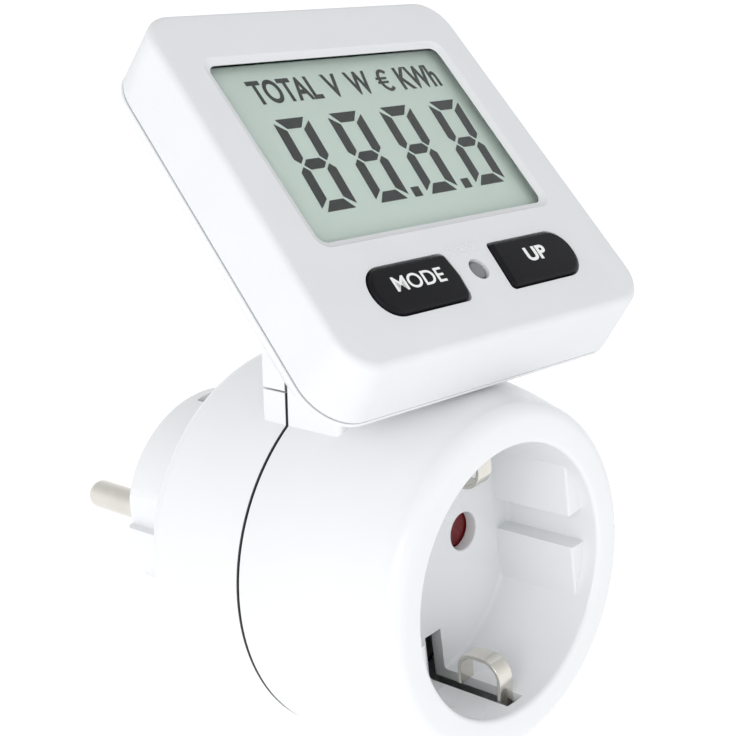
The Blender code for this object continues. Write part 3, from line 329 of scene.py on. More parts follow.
# %% A helper for shader groups
def shader_group(name, inputs, outputs):
    """A group with named number sockets, its input node and its output node."""
    group = bpy.data.node_groups.new(name, "ShaderNodeTree")
    for label, value in inputs:
        socket = group.interface.new_socket(name=label, in_out="INPUT", socket_type="NodeSocketFloat")
        socket.default_value = value
    for label in outputs:
        group.interface.new_socket(name=label, in_out="OUTPUT", socket_type="NodeSocketFloat")
    return group, group.nodes.new("NodeGroupInput"), group.nodes.new("NodeGroupOutput")


def link_math(tree, operation, a, b):
    """A Math node whose two inputs are each a number or another node's output."""
    node = tree.nodes.new("ShaderNodeMath")
    node.operation = operation
    for socket, value in zip(node.inputs, (a, b)):
        if isinstance(value, (int, float)):
            socket.default_value = value
        else:
            tree.links.new(value, socket)
    return node.outputs[0]


def noise(tree, scale, detail, roughness, stretch=(1, 1, 1)):
    """A noise texture in the piece's own space, so that it stays put when the piece moves."""
    place = tree.nodes.new("ShaderNodeTexCoord")
    spread = tree.nodes.new("ShaderNodeMapping")
    spread.inputs["Scale"].default_value = stretch
    tree.links.new(place.outputs["Object"], spread.inputs["Vector"])
    texture = tree.nodes.new("ShaderNodeTexNoise")
    tree.links.new(spread.outputs[0], texture.inputs["Vector"])
    tree.links.new(scale, texture.inputs["Scale"])
    texture.inputs["Detail"].default_value = detail
    texture.inputs["Roughness"].default_value = roughness
    return texture.outputs[0]


print("group helper ready")

# %% The moulded surface group
MOULDED, enter, leave = shader_group("moulded surface", [("Grain Scale", 4000.0), ("Flow Scale", 90.0)],
                                     ["Grain", "Flow"])
MOULDED.links.new(noise(MOULDED, enter.outputs["Grain Scale"], 3.0, 0.6), leave.inputs["Grain"])
MOULDED.links.new(noise(MOULDED, enter.outputs["Flow Scale"], 2.0, 0.5), leave.inputs["Flow"])
print("moulded surface:", [s.name for s in MOULDED.interface.items_tree])

# %% The worked metal group
WORKED, enter, leave = shader_group("worked metal", [("Line Scale", 2500.0), ("Tarnish Scale", 260.0)],
                                    ["Lines", "Tarnish"])
LINE_STRETCH = (1, 0.05, 1)        # drawn lines run along the socket's axis
drawn = noise(WORKED, enter.outputs["Line Scale"], 3.0, 0.6, LINE_STRETCH)
WORKED.links.new(drawn, leave.inputs["Lines"])
WORKED.links.new(noise(WORKED, enter.outputs["Tarnish Scale"], 3.0, 0.6), leave.inputs["Tarnish"])
print("worked metal:", [s.name for s in WORKED.interface.items_tree])

# %% [markdown]
# ## Finishes
#
# A finish starts as a Principled shader. Its colour drifts between two near tones along a group's
# slow pattern, its roughness varies with the same pattern, and its bump comes from the fine one.
# Keeping these three in one helper makes every finish of the meter vary, each in its own amount.

# %% The finish maker
def finish(name, group, tones, rough, height, scales, metallic=0.0, shine=0.5,
           patterns=("Flow", "Grain")):
    """Two tones and two roughnesses along the group's slow pattern, and a bump of a height in metres."""
    made = bpy.data.materials.new(name)
    made.use_nodes = True
    tree = made.node_tree
    shader = tree.nodes["Principled BSDF"]
    surface = tree.nodes.new("ShaderNodeGroup")
    surface.node_tree = group
    for socket, value in zip(surface.inputs, scales):
        socket.default_value = value
    slow, fine = (surface.outputs[p] for p in patterns)
    tone = tree.nodes.new("ShaderNodeMix")
    tone.data_type = "RGBA"
    tone.inputs[6].default_value = (*tones[0], 1)
    tone.inputs[7].default_value = (*tones[1], 1)
    tree.links.new(slow, tone.inputs[0])
    tree.links.new(tone.outputs[2], shader.inputs["Base Color"])
    spread = tree.nodes.new("ShaderNodeMapRange")
    spread.inputs["To Min"].default_value, spread.inputs["To Max"].default_value = rough
    tree.links.new(slow, spread.inputs["Value"])
    tree.links.new(spread.outputs[0], shader.inputs["Roughness"])
    bump = tree.nodes.new("ShaderNodeBump")
    bump.inputs["Strength"].default_value = 1.0
    bump.inputs["Distance"].default_value = height
    tree.links.new(fine, bump.inputs["Height"])
    tree.links.new(bump.outputs[0], shader.inputs["Normal"])
    shader.inputs["Metallic"].default_value = metallic
    shader.inputs["Specular IOR Level"].default_value = shine
    return made


def recolour(tree, mask, colour):
    """Lay another colour over a finish's own, where a mask says so."""
    base = tree.nodes["Principled BSDF"].inputs["Base Color"]
    mix = tree.nodes.new("ShaderNodeMix")
    mix.data_type = "RGBA"
    mix.inputs[7].default_value = (*colour, 1)
    tree.links.new(base.links[0].from_socket, mix.inputs[6])
    tree.links.new(mask, mix.inputs[0])
    tree.links.new(mix.outputs[2], base)


print("finish maker ready")

# %% The plastics
GLOSS_WHITE = finish("gloss white", MOULDED, ((0.78, 0.79, 0.80), (0.81, 0.82, 0.83)),
                     (0.22, 0.30), 4e-6, (900, 60))
FACE_WHITE = finish("sparked white", MOULDED, ((0.73, 0.74, 0.755), (0.77, 0.78, 0.79)),
                    (0.42, 0.55), 2.2e-5, (3600, 120))
KEY_BLACK = finish("sparked black", MOULDED, ((0.006, 0.006, 0.007), (0.013, 0.013, 0.015)),
                   (0.42, 0.58), 4e-5, (3200, 200), shine=0.12)
KEY_GREY = finish("reset grey", MOULDED, ((0.17, 0.17, 0.18), (0.24, 0.24, 0.25)),
                  (0.4, 0.55), 1e-5, (4000, 300))
PRINT_WHITE = finish("pad print white", MOULDED, ((0.86, 0.86, 0.86), (0.90, 0.90, 0.90)),
                     (0.5, 0.6), 6e-6, (5000, 300))
SHUTTER_RED = finish("shutter red", MOULDED, ((0.12, 0.006, 0.008), (0.19, 0.014, 0.016)),
                     (0.22, 0.34), 6e-6, (2500, 200))
NYLON = finish("natural nylon", MOULDED, ((0.62, 0.58, 0.49), (0.72, 0.68, 0.59)),
               (0.42, 0.58), 1e-5, (2500, 120))
COMPONENT = finish("moulded component", MOULDED, ((0.018, 0.018, 0.020), (0.040, 0.040, 0.043)),
                   (0.42, 0.6), 2e-5, (4000, 300))
FILM_BOX = finish("film capacitor box", MOULDED, ((0.55, 0.42, 0.04), (0.66, 0.52, 0.07)),
                  (0.3, 0.42), 1e-5, (2000, 200))
VARISTOR = finish("varistor coating", MOULDED, ((0.02, 0.08, 0.28), (0.04, 0.14, 0.40)),
                  (0.25, 0.4), 3e-5, (1500, 250))
ZEBRA = finish("zebra rubber", MOULDED, ((0.02, 0.02, 0.02), (0.09, 0.09, 0.09)),
               (0.6, 0.8), 2e-5, (5000, 2400))
FLAT_CABLE = finish("flat cable", MOULDED, ((0.42, 0.43, 0.45), (0.55, 0.56, 0.58)),
                    (0.4, 0.55), 1e-5, (3000, 900))
print("plastics:", len(bpy.data.materials))

# %% [markdown]
# ## The joint between the shells
#
# The two shells meet in a fine gap. Its walls lie in shadow and gather dust, so both shells get
# the same white with a dark band between two depths, which is painted shade and dust. The band is
# part of the finish and follows the gap all the way round, which a drawn line would not.

# %% The shells' white with its joint
def joint_shade(paint, low, high):
    """A copy of a finish that is dark between two depths: painted shade and dust in a joint."""
    made = paint.copy()
    made.name = paint.name + " with a joint"
    tree = made.node_tree
    place = tree.nodes.new("ShaderNodeTexCoord")
    parts = tree.nodes.new("ShaderNodeSeparateXYZ")
    tree.links.new(place.outputs["Object"], parts.inputs[0])
    behind = link_math(tree, "GREATER_THAN", parts.outputs["Y"], low * MM)
    before = link_math(tree, "LESS_THAN", parts.outputs["Y"], high * MM)
    # the dark colour is painted shade in the gap, with some dust
    recolour(tree, link_math(tree, "MULTIPLY", behind, before), (0.05, 0.05, 0.05))
    return made


# The dark band is painted shade in the gap, with some dust.
DUST_AND_SHADE = 0.13                        # how far the dark band spreads past the gap
SHELL_WHITE = joint_shade(GLOSS_WHITE, SEAM - DUST_AND_SHADE, SEAM + SHELL_GAP + DUST_AND_SHADE)
print("shell finish:", SHELL_WHITE.name)

# %% [markdown]
# ## Metals
#
# The metal parts are thin strips and turned pins. They share the worked metal group, whose lines
# run from front to back, and differ in tone and in how far the surface is polished.

# %% The metals
METAL = ("Tarnish", "Lines")
NICKEL = finish("bright nickel", WORKED, ((0.66, 0.63, 0.57), (0.76, 0.74, 0.69)),
                (0.14, 0.24), 3e-6, (2500, 260), 1.0, patterns=METAL)
BRASS = finish("spring brass", WORKED, ((0.66, 0.44, 0.18), (0.80, 0.60, 0.30)),
               (0.22, 0.38), 5e-6, (2500, 260), 1.0, patterns=METAL)
STEEL = finish("zinc steel", WORKED, ((0.40, 0.41, 0.43), (0.56, 0.57, 0.59)),
               (0.25, 0.42), 5e-6, (3500, 400), 1.0, patterns=METAL)
MANGANIN = finish("manganin", WORKED, ((0.36, 0.21, 0.13), (0.50, 0.32, 0.21)),
                  (0.3, 0.45), 5e-6, (3000, 300), 1.0, patterns=METAL)
print("materials so far:", len(bpy.data.materials))

# %% [markdown]
# ## The boards, the display glass and the window
#
# A circuit board is a green lacquer over copper, so its tracks show as slightly lighter bands. A
# brick pattern with thin joints gives straight tracks without drawing them. The display is a
# grey-green polariser whose tone drifts slowly, and the window over it is clear plastic.

# %% Board lacquer
def board_finish():
    made = finish("solder lacquer", MOULDED, ((0.008, 0.085, 0.030), (0.014, 0.13, 0.048)),
                  (0.28, 0.4), 4e-6, (3000, 300))
    tree = made.node_tree
    place = tree.nodes.new("ShaderNodeTexCoord")
    turn = tree.nodes.new("ShaderNodeMapping")
    turn.inputs["Rotation"].default_value = (math.pi / 2, 0, 0)
    tree.links.new(place.outputs["Object"], turn.inputs["Vector"])
    tracks = tree.nodes.new("ShaderNodeTexBrick")
    tracks.inputs["Scale"].default_value = 160
    tracks.inputs["Mortar Size"].default_value = 0.05
    tracks.inputs["Mortar Smooth"].default_value = 0.2
    tree.links.new(turn.outputs[0], tracks.inputs["Vector"])
    recolour(tree, tracks.outputs["Fac"], (0.04, 0.26, 0.10))
    return made


BOARD = board_finish()
print("board finish:", BOARD.name)

# %% Display glass, its dark signs and the clear window
DISPLAY_GROUND = finish("display polariser", MOULDED, ((0.74, 0.86, 0.78), (0.80, 0.92, 0.84)),
                        (0.28, 0.36), 4e-6, (5000, 25), shine=0.3)
DISPLAY_INK = finish("display signs", MOULDED, ((0.030, 0.034, 0.033), (0.045, 0.050, 0.048)),
                     (0.3, 0.4), 2e-6, (5000, 200), shine=0.25)


def window_finish():
    made = finish("clear window", MOULDED, ((0.97, 0.98, 0.98), (0.99, 1.0, 1.0)),
                  (0.02, 0.05), 1e-6, (400, 40))
    shader = made.node_tree.nodes["Principled BSDF"]
    shader.inputs["Transmission Weight"].default_value = 1.0
    shader.inputs["IOR"].default_value = 1.2
    return made


WINDOW = window_finish()
print("window finish:", WINDOW.name)

# %% [markdown]
# ## The front shell
#
# The front shell is one moulding: the barrel, the well of the socket, the guide blocks in it and
# the neck. The barrel and the well are turned from one profile with soft radii, since that is
# where the light shows its shape. The rest is joined to it or cut from it.

# %% The barrel and the well
FRONT_EDGE, BARREL_FULL = 2.4, 18.0     # the ring's soft edge, and where the barrel gets its full width
SEAM_EDGE, RIM_EDGE, FLOOR_EDGE = 0.25, 0.7, 0.6      # soft edges: the seam, the well's rim and floor


def barrel_side(depth):
    """The barrel's radius at a depth: it swells from the ring and then runs straight."""
    share = min(max((depth - FRONT_EDGE) / (BARREL_FULL - FRONT_EDGE), 0.0), 1.0)
    return BARREL_R - (BARREL_R - FRONT_R) * (1 - share) ** 2


def front_shell_profile():
    inner, well_out, back, face = BARREL_R - WALL, WELL_R + 1.6, WELL_DEPTH + FLOOR, 3.0
    profile = [(0, back), (well_out, back), (well_out, face), (FRONT_R - WALL, face),
               (inner, BARREL_FULL), (inner, SEAM)]
    profile += arc(BARREL_R - SEAM_EDGE, SEAM - SEAM_EDGE, SEAM_EDGE, 90, 0, 3)
    depths = [BARREL_FULL - i * (BARREL_FULL - FRONT_EDGE) / 14 for i in range(15)]
    profile += [(barrel_side(depth), depth) for depth in depths]
    profile += arc(FRONT_R - FRONT_EDGE, FRONT_EDGE, FRONT_EDGE, 0, -90, 10)[1:]
    profile += arc(WELL_R + RIM_EDGE, RIM_EDGE, RIM_EDGE, -90, -180, 6)
    profile += arc(WELL_R - FLOOR_EDGE, WELL_DEPTH - FLOOR_EDGE, FLOOR_EDGE, 0, 90, 5)
    return profile + [(0, WELL_DEPTH)]


front = shown(lathe_mesh(front_shell_profile(), 160), "front_housing", BODY)
print("front housing:", len(front.data.polygons), "faces")

# %% The neck and the knuckle of the hinge
NECK_ROOT, NECK_EDGE = 20.0, 0.9   # the neck starts inside the barrel's wall, and has soft edges
KNUCKLE_HALF = 11.0
OFF_PLANE = 0.05                   # keeps the knuckle's back out of the plane of the neck's back


def neck_block(ahead, behind, low, high):
    """A block as wide as the neck."""
    middle = (0, (ahead + behind) / 2, (low + high) / 2)
    return box_mesh((2 * NECK_HALF, behind - ahead, high - low), middle, NECK_EDGE, 4)


def inner_bore(ahead, length):
    """The round space inside the shells."""
    return rod_mesh(BARREL_R - WALL, length, (0, ahead + length / 2, 0), sides=160)


def neck_piece():
    """The neck, hollowed by the shell's inside and stepped where the rear block meets it."""
    neck = shown(neck_block(NECK_FRONT, NECK_BACK, NECK_ROOT, NECK_TOP), "neck", BODY)
    step = box_mesh((2 * NECK_HALF + 4, 12, 20), (0, SEAM + 6, NECK_SPLIT - 10))
    return combine(neck, "DIFFERENCE", [(inner_bore(0, SEAM + 20), BODY), (step, BODY)])


def knuckle_shape():
    """The round middle part of the hinge, which stands on the neck."""
    root = NECK_TOP - HINGE_HEIGHT - 2
    outline = arc(0, 0, HINGE_R, 0, 180, 24) + [(-HINGE_R, root), (HINGE_R, root)]
    return along_x([(y + HINGE_DEPTH - OFF_PLANE, z + HINGE_HEIGHT) for y, z in outline], KNUCKLE_HALF)


stack(front, "UNION", neck_piece())
settle(front)
combine(front, "UNION", [(knuckle_shape(), BODY)])
print("with its neck:", len(front.data.polygons), "faces")

# %% The guide blocks that turn a plug the right way
GUIDE_IN, GUIDE_LOW, GUIDE_HIGH = 17.1, 2.6, 11.4     # a block's inner face and its two levels


def guide_outline(side, level):
    """One block seen from the front: a straight inner face, and an arc sunk in the well's wall."""
    reach = WELL_R + 0.8
    low = math.degrees(math.asin(GUIDE_LOW / reach))
    high = math.degrees(math.atan2(GUIDE_HIGH, GUIDE_IN))
    outline = [(GUIDE_IN, GUIDE_LOW)] + arc(0, 0, reach, low, high, 8) + [(GUIDE_IN, GUIDE_HIGH)]
    outline = [(side * x, level * z) for x, z in outline]
    return outline if side * level > 0 else outline[::-1]


def guide_block(side, level):
    """A block with a soft front edge that runs back into the well's floor."""
    outline = guide_outline(side, level)
    edge = [(2.8, inset(outline, 0.25)), (3.0, inset(outline, 0.07)), (3.2, outline)]
    return loft_mesh(edge + [(WELL_DEPTH + 1, outline)])


guides = [(guide_block(side, level), SOCKET) for side in (-1, 1) for level in (-1, 1)]
combine(front, "UNION", guides)
print("guide blocks:", len(guides))

# %% Screw posts and the posts behind the floor
POST_R, POST_CIRCLE, SCREW_BORE = 2.5, 23.2, 1.4
POST_ACROSS = POST_CIRCLE / math.sqrt(2)
posts = [(across, height) for height in (POST_ACROSS, -POST_ACROSS)
         for across in (-POST_ACROSS, POST_ACROSS)]


def post_mesh(radius, ahead, behind, x, z, sides=24):
    """A rod along the depth, between two depths."""
    return rod_mesh(radius, behind - ahead, (x, (ahead + behind) / 2, z), sides=sides)


combine(front, "UNION", [(post_mesh(POST_R, 2.7, SEAM - 0.3, x, z), BODY) for x, z in posts]
        + [(post_mesh(1.4, 18.9, 24.7, 0, z), SOCKET) for z in (-8.6, 0, 8.6)])
print("screw posts:", len(posts))

# %% Holes, earth slots and the ribbon's way through the neck
PIN_HOLE, HOLE_EDGE = 3.0, 0.3
# An earth slot's width, the depths of its two ends, and how near it comes to the axis.
SLOT, SLOT_FRONT, SLOT_BACK, SLOT_IN = 3.6, 2.3, 20.5, 13.2
# The ribbon's place across, the width of its slot, and the height of the channel in the neck.
RIBBON_X, RIBBON_SLOT, RIBBON_CHANNEL = 4.2, 8.0, 19.7
HINGE_BORE = 1.8


def pin_hole():
    """A hole through the well's floor with a round edge, drawn on its own axis."""
    wide = PIN_HOLE + HOLE_EDGE
    edge = arc(wide, WELL_DEPTH + HOLE_EDGE, HOLE_EDGE, -90, -180, 4)
    return lathe_mesh([(0, WELL_DEPTH - 0.5), (wide, WELL_DEPTH - 0.5), (wide, WELL_DEPTH)] + edge
                      + [(PIN_HOLE, 21), (0, 21)], 64)


def ribbon_channel():
    """The ribbon's straight way up to the hinge."""
    middle = (RIBBON_X, HINGE_DEPTH, HINGE_HEIGHT - RIBBON_CHANNEL / 2)
    return box_mesh((RIBBON_SLOT, 4.4, RIBBON_CHANNEL), middle)


def ribbon_mouth():
    """The slanted way out, wide enough for the ribbon to lean with the head."""
    middle = (RIBBON_X, HINGE_DEPTH - 2.2, HINGE_HEIGHT + 3.6)
    return box_mesh((RIBBON_SLOT, 5.6, 8.0), middle, turn=Matrix.Rotation(math.radians(30), 3, "X"))


cuts = []
for side in (-1, 1):
    cuts.append((pin_hole(), moved(SOCKET, side * PIN_OFFSET, 0, 0)))
    wall_middle = (0, (SLOT_FRONT + SLOT_BACK) / 2, side * (WELL_R + 0.8))
    cuts.append((box_mesh((SLOT, SLOT_BACK - SLOT_FRONT, 4.0), wall_middle), SOCKET))
    floor_middle = (0, WELL_DEPTH + 1, side * (WELL_R + SLOT_IN) / 2)
    cuts.append((box_mesh((SLOT, 6.0, WELL_R - SLOT_IN), floor_middle), SOCKET))
cuts += [(post_mesh(SCREW_BORE, SEAM - 13, SEAM + 1, x, z), BODY) for x, z in posts]
hinge_axis = (0, HINGE_DEPTH, HINGE_HEIGHT)
cuts += [(ribbon_channel(), BODY), (rod_mesh(3.2, 17.0, hinge_axis, "X"), BODY),
         (rod_mesh(HINGE_BORE, 40.0, hinge_axis, "X", 32), BODY), (ribbon_mouth(), BODY)]
combine(front, "DIFFERENCE", cuts)
fit_out(front, "housing", "front_shell", SHELL_WHITE)
ease_edges(front)
print("front housing finished:", len(front.data.polygons), "faces")

# %% [markdown]
# ## The rear shell
#
# The rear shell is a cup with the plug's body on its back. It is turned too, with a large soft
# corner where the barrel ends. Flats with a rib between them run along both sides of the plug's
# body, and a small block at the top meets the neck.

# %% The cup and the plug's body
# The radius of the plug's body, and of the soft edges at its end, its root and the shoulder.
PLUG_R, PLUG_EDGE, ROOT_EDGE, SHOULDER_EDGE = 18.5, 1.5, 0.6, 4.0


def rear_shell_profile():
    inner, start = BARREL_R - WALL, SEAM + SHELL_GAP
    floor, cap = SHOULDER - WALL, PLUG_END - 2.5
    profile = [(0, PLUG_END)] + arc(PLUG_R - PLUG_EDGE, PLUG_END - PLUG_EDGE, PLUG_EDGE, 90, 0, 6)
    profile += arc(PLUG_R + ROOT_EDGE, SHOULDER + ROOT_EDGE, ROOT_EDGE, 180, 270, 4)
    profile += arc(BARREL_R - SHOULDER_EDGE, SHOULDER - SHOULDER_EDGE, SHOULDER_EDGE, 90, 0, 12)
    profile += arc(BARREL_R - SEAM_EDGE, start + SEAM_EDGE, SEAM_EDGE, 0, -90, 3)
    profile += [(inner, start), (inner, SHOULDER - SHOULDER_EDGE), (inner - 1.8, floor)]
    return profile + [(PLUG_R - WALL, floor), (PLUG_R - WALL, cap), (0, cap)]


rear = shown(lathe_mesh(rear_shell_profile(), 160), "rear_housing", BODY)
print("rear housing:", len(rear.data.polygons), "faces")

# %% The block under the neck
start, top = SEAM + SHELL_GAP, NECK_SPLIT - SHELL_GAP
block = shown(neck_block(start - 2, NECK_BACK, 18, top + 1), "rear_block", BODY)
combine(block, "DIFFERENCE", [(inner_bore(start - 20, 40), BODY),
                              (box_mesh((50, 6, 30), (0, start - 3, 20)), BODY),
                              (box_mesh((50, 20, 6), (0, start, top + 3)), BODY)])
stack(rear, "UNION", block)
settle(rear)
print("with its block:", len(rear.data.polygons), "faces")

# %% Posts, flats, slots and screw wells
FLAT, FLAT_HALF, RIB_HALF = 16.9, 9.0, 1.6     # the flats' place, their half height and the rib's
room_ahead, room_behind = start - 2, NECK_BACK + SHELL_GAP
combine(rear, "UNION", [(post_mesh(POST_R, start, SHOULDER - 0.6, x, z), BODY) for x, z in posts])
room = box_mesh((2 * (NECK_HALF + SHELL_GAP), room_behind - room_ahead, 12),
                (0, (room_ahead + room_behind) / 2, top + 6))
cuts = [(room, BODY), (ribbon_channel(), BODY)]
for side in (-1, 1):
    for level in (-1, 1):
        middle = (side * (FLAT + 3), SHOULDER + 9.6, level * (FLAT_HALF + RIB_HALF) / 2)
        cuts.append((box_mesh((6, 18.8, FLAT_HALF - RIB_HALF), middle), SOCKET))
    cuts.append((rod_mesh(2.7, 10, (side * PIN_OFFSET, PLUG_END, 0)), SOCKET))
    cuts.append((box_mesh((5.0, 12.4, 6.0), (0, SHOULDER + 7.4, side * PLUG_R), 0.6), SOCKET))
for x, z in posts:
    cuts.append((post_mesh(SCREW_BORE, SHOULDER - 25, SHOULDER + 5, x, z), BODY))
    cuts.append((post_mesh(2.1, SHOULDER - 1.5, SHOULDER + 4.5, x, z, 32), BODY))
combine(rear, "DIFFERENCE", cuts)
fit_out(rear, "housing", "rear_shell", SHELL_WHITE)
ease_edges(rear)
print("rear housing finished:", len(rear.data.polygons), "faces")

# %% [markdown]
# ## Plug pins and earth clips
#
# The pins are turned and nickel plated, with a full round tip. The earth clip is a flat strip,
# bent into a bow in the well and run back through the body to the plug's side. A strip is drawn
# from its centre line, offset to both sides, and its edges are eased like a blanked strip's.

# %% The pins
def pin_profile():
    tip, inside, end = PLUG_END + 19.0, 62.5, 43.7
    radius, collar, stem, collar_thick = 2.4, 3.7, 1.7, 1.4
    profile = [(0, tip)] + arc(0.6, tip - 1.8, 1.8, 88, 0, 10)
    return profile + [(radius, inside), (collar, inside), (collar, inside - collar_thick),
                      (stem, inside - collar_thick), (stem, end), (0, end)]


for name, side in (("live", -1), ("neutral", 1)):
    place = moved(SOCKET, side * PIN_OFFSET, 0, 0)
    pin = shown(lathe_mesh(pin_profile(), 48), f"{name}_pin", place, "housing", NICKEL)
    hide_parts(f"plug_pin_{name}")
print("pins made")

# %% The earth clips
def strip_outline(path, thickness):
    """Both sides of a strip, drawn from its centre line."""
    sides = ([], [])
    for i, (x, y) in enumerate(path):
        bx, by = path[max(i - 1, 0)]
        ax, ay = path[min(i + 1, len(path) - 1)]
        before = math.atan2(y - by, x - bx) if i else math.atan2(ay - y, ax - x)
        after = math.atan2(ay - y, ax - x) if i < len(path) - 1 else before
        bend = (after - before + math.pi) % (2 * math.pi) - math.pi
        normal = before + bend / 2 + math.pi / 2
        reach = thickness / 2 / math.cos(bend / 2)
        for side, sign in zip(sides, (1, -1)):
            side.append((x + sign * reach * math.cos(normal), y + sign * reach * math.sin(normal)))
    return sides[1] + sides[0][::-1]


def soft_path(corners, steps=12):
    """An open line through (x, y, bend radius) corners."""
    path = []
    for i, (x, y, radius) in enumerate(corners):
        if radius <= 0:
            path.append((x, y))
            continue
        before, after = corners[i - 1][:2] + (0,), corners[i + 1][:2] + (0,)
        path += rounded([before, corners[i], after], steps)[1:-1]
    return path


# Each corner is (depth, distance from the axis, bend radius), from the plug's side to the bow.
CLIP = soft_path([(60.7, 15.1, 0), (60.7, 17.9, 0.8), (51.9, 17.9, 0.8), (51.1, 15.1, 0.8),
                  (45.0, 15.1, 0.8), (45.0, 23.2, 1.0), (4.6, 23.2, 0.9), (3.9, 17.7, 1.5),
                  (3.9, 14.1, 3.0), (11.4, 14.1, 2.8), (11.6, 19.4, 0)])
for name, side in (("upper", 1), ("lower", -1)):
    outline = strip_outline([(y, side * z) for y, z in CLIP], 0.6)
    clip = shown(along_x(outline, 1.5), f"{name}_earth_clip", SOCKET, "housing", NICKEL)
    ease_edges(clip, 0.12)
    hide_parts(f"earth_strap_{name}")
print("clip centre line:", len(CLIP), "points")

# %% [markdown]
# ## The head's front
#
# The head's front is a shallow tray. Its face is a little narrower at the top, and its lower side
# slopes outwards to the joint with the back cover. The whole tray carries one fine spark texture,
# which is duller than the gloss of the shells.

# %% The head's outline and the tray
JOINT, BACK = 9.6, 12.8            # depths of the joint in the head's side and of its back
FACE_HALF, FACE_HALF_LOW, FACE_HALF_TOP = 29.95, 32.5, 31.0     # half its height, and half widths
HEAD_WALL = 2.0


def head_outline(depth, shrink=0.0, lift=0.0):
    """The outline at a depth behind the face, moved in by shrink, and its lower edge by lift too."""
    share = min(depth / JOINT, 1.0)
    bottom, top = FACE_HALF_LOW + 0.5 * share - shrink, FACE_HALF_TOP + 0.4 * share - shrink
    low, high = FACE_HALF + 2.65 * share - shrink - lift, FACE_HALF - 0.75 * share - shrink
    radius = max(5.5 + 1.7 * share - 0.7 * shrink, 1.0)
    corners = [(-bottom, -low, radius), (bottom, -low, radius), (top, high, radius), (-top, high, radius)]
    return rounded(corners, 14)


def tray_sections(radius=1.0):
    """The soft edge is an arc that ends along the side."""
    turns = [math.pi / 2 * i / 7 for i in range(8)]
    reach = [(radius * (1 - math.cos(t)), radius * (1 - math.sin(t))) for t in turns]
    edge = [(depth, head_outline(depth, shrink)) for depth, shrink in reach]
    side = [(depth, head_outline(depth)) for depth in (2.5, 4.5, 7.0, 9.45)]
    return edge + side + [(JOINT, head_outline(JOINT, 0.12))]


def face_loft(sections):
    """A loft on the head, whose sections count from the face and from its middle."""
    return loft_mesh([(depth - FACE_FORWARD, [(x, z + FACE_RAISE) for x, z in outline])
                      for depth, outline in sections])


tray = shown(face_loft(tray_sections()), "head_front", HEAD)
inside = head_outline(JOINT, HEAD_WALL)
hollow = [(1.8, head_outline(1.8, HEAD_WALL)), (JOINT, inside), (JOINT + 1, inside)]
combine(tray, "DIFFERENCE", [(face_loft(hollow), HEAD)])
print("tray:", len(tray.data.polygons), "faces")

# %% The key outlines
KEY_TOP, KEY_LOW, KEY_ROUND = -15.8, -23.4, 3.7
RESET_X, RESET_Z = 0.85, -19.2
KEY_GAP, KEY_FLANGE = 0.3, 0.9


def mode_outline(grow=0.0):
    """The left key: round at its left end, and a blunt point at its right."""
    left, right, high, low = -21.4 - grow, -3.9 + grow, KEY_TOP + grow, KEY_LOW - grow
    return rounded([(left, low, KEY_ROUND + grow), (right - 0.4, low, 1.2), (right, (high + low) / 2, 1.5),
                    (right - 0.6, high, 1.0), (left, high, KEY_ROUND + grow)], 12)


def up_outline(grow=0.0):
    """The right key: round at its right end."""
    left, right, high, low = 5.1 - grow, 22.2 + grow, KEY_TOP + grow, KEY_LOW - grow
    return rounded([(left, low, 0.8), (right, low, 3.6 + grow), (right, high, 3.6 + grow),
                    (left + 0.5, high, 0.8)], 12)


key_across = [x for x, z in mode_outline()]
print("left key width:", round(max(key_across) - min(key_across), 1), "mm")

# %% The window, the key holes and the screw posts of the tray
WINDOW_W, WINDOW_H, WINDOW_Z = 47.6, 30.6, 5.25       # its size, and how far above the face's middle
HEAD_SCREWS_TOP, HEAD_SCREWS_LOW = (24.85, 24.3), (26.35, -21.0)
head_screws = [(side * x, z) for x, z in (HEAD_SCREWS_TOP, HEAD_SCREWS_LOW) for side in (-1, 1)]


def window_outline(wider, radius):
    """The window's outline, larger by an amount each way."""
    return rectangle(WINDOW_W + wider, WINDOW_H + wider, radius, 0, WINDOW_Z)


combine(tray, "UNION", [(rod_mesh(2.2, 6.0, on_head(x, 4.3, z), sides=24), HEAD) for x, z in head_screws])
window = [(-0.3, window_outline(3.0, 2.4)), (0.05, window_outline(2.4, 2.3)),
          (0.25, window_outline(1.3, 1.9)), (0.45, window_outline(0.4, 1.6)),
          (0.8, window_outline(0.0, 1.5))]
pocket = window_outline(3.0, 1.0)
cuts = [(face_loft(window), HEAD), (face_loft([(0.6, pocket), (3.6, pocket)]), HEAD)]
for hole in (mode_outline(KEY_GAP), up_outline(KEY_GAP)):
    cuts.append((face_loft([(-1, hole), (3, hole)]), HEAD))
cuts.append((rod_mesh(1.75, 6, on_head(RESET_X, 1, RESET_Z)), HEAD))
cuts += [(rod_mesh(SCREW_BORE, 6, on_head(x, 6.3, z), sides=24), HEAD) for x, z in head_screws]
combine(tray, "DIFFERENCE", cuts)
fit_out(tray, "display_head", "head_bezel", FACE_WHITE)
ease_edges(tray, 0.12)
print("head front finished:", len(tray.data.polygons), "faces")

# %% [markdown]
# ## The head's back
#
# The back cover has a thin straight rim, then slopes in to a flat back. Two lugs reach down to
# the hinge, one each side of the neck's knuckle. Four screws hold it from behind.

# %% The cover and its lugs
LUG_ACROSS, LUG_HALF = 13.8, 1.8


def cover_sections():
    """Each row is (depth, how far the outline shrinks, how far its lower edge lifts too)."""
    edge = ((9.9, 0.12, 0.0), (10.02, 0.0, 0.0), (10.35, 0.0, 0.0), (10.55, 0.1, 0.12), (11.4, 0.7, 1.1),
            (12.3, 1.32, 2.08), (12.62, 1.66, 2.5), (12.76, 2.0, 2.8), (BACK, 2.4, 3.2))
    return [(depth, head_outline(JOINT, shrink, lift)) for depth, shrink, lift in edge]


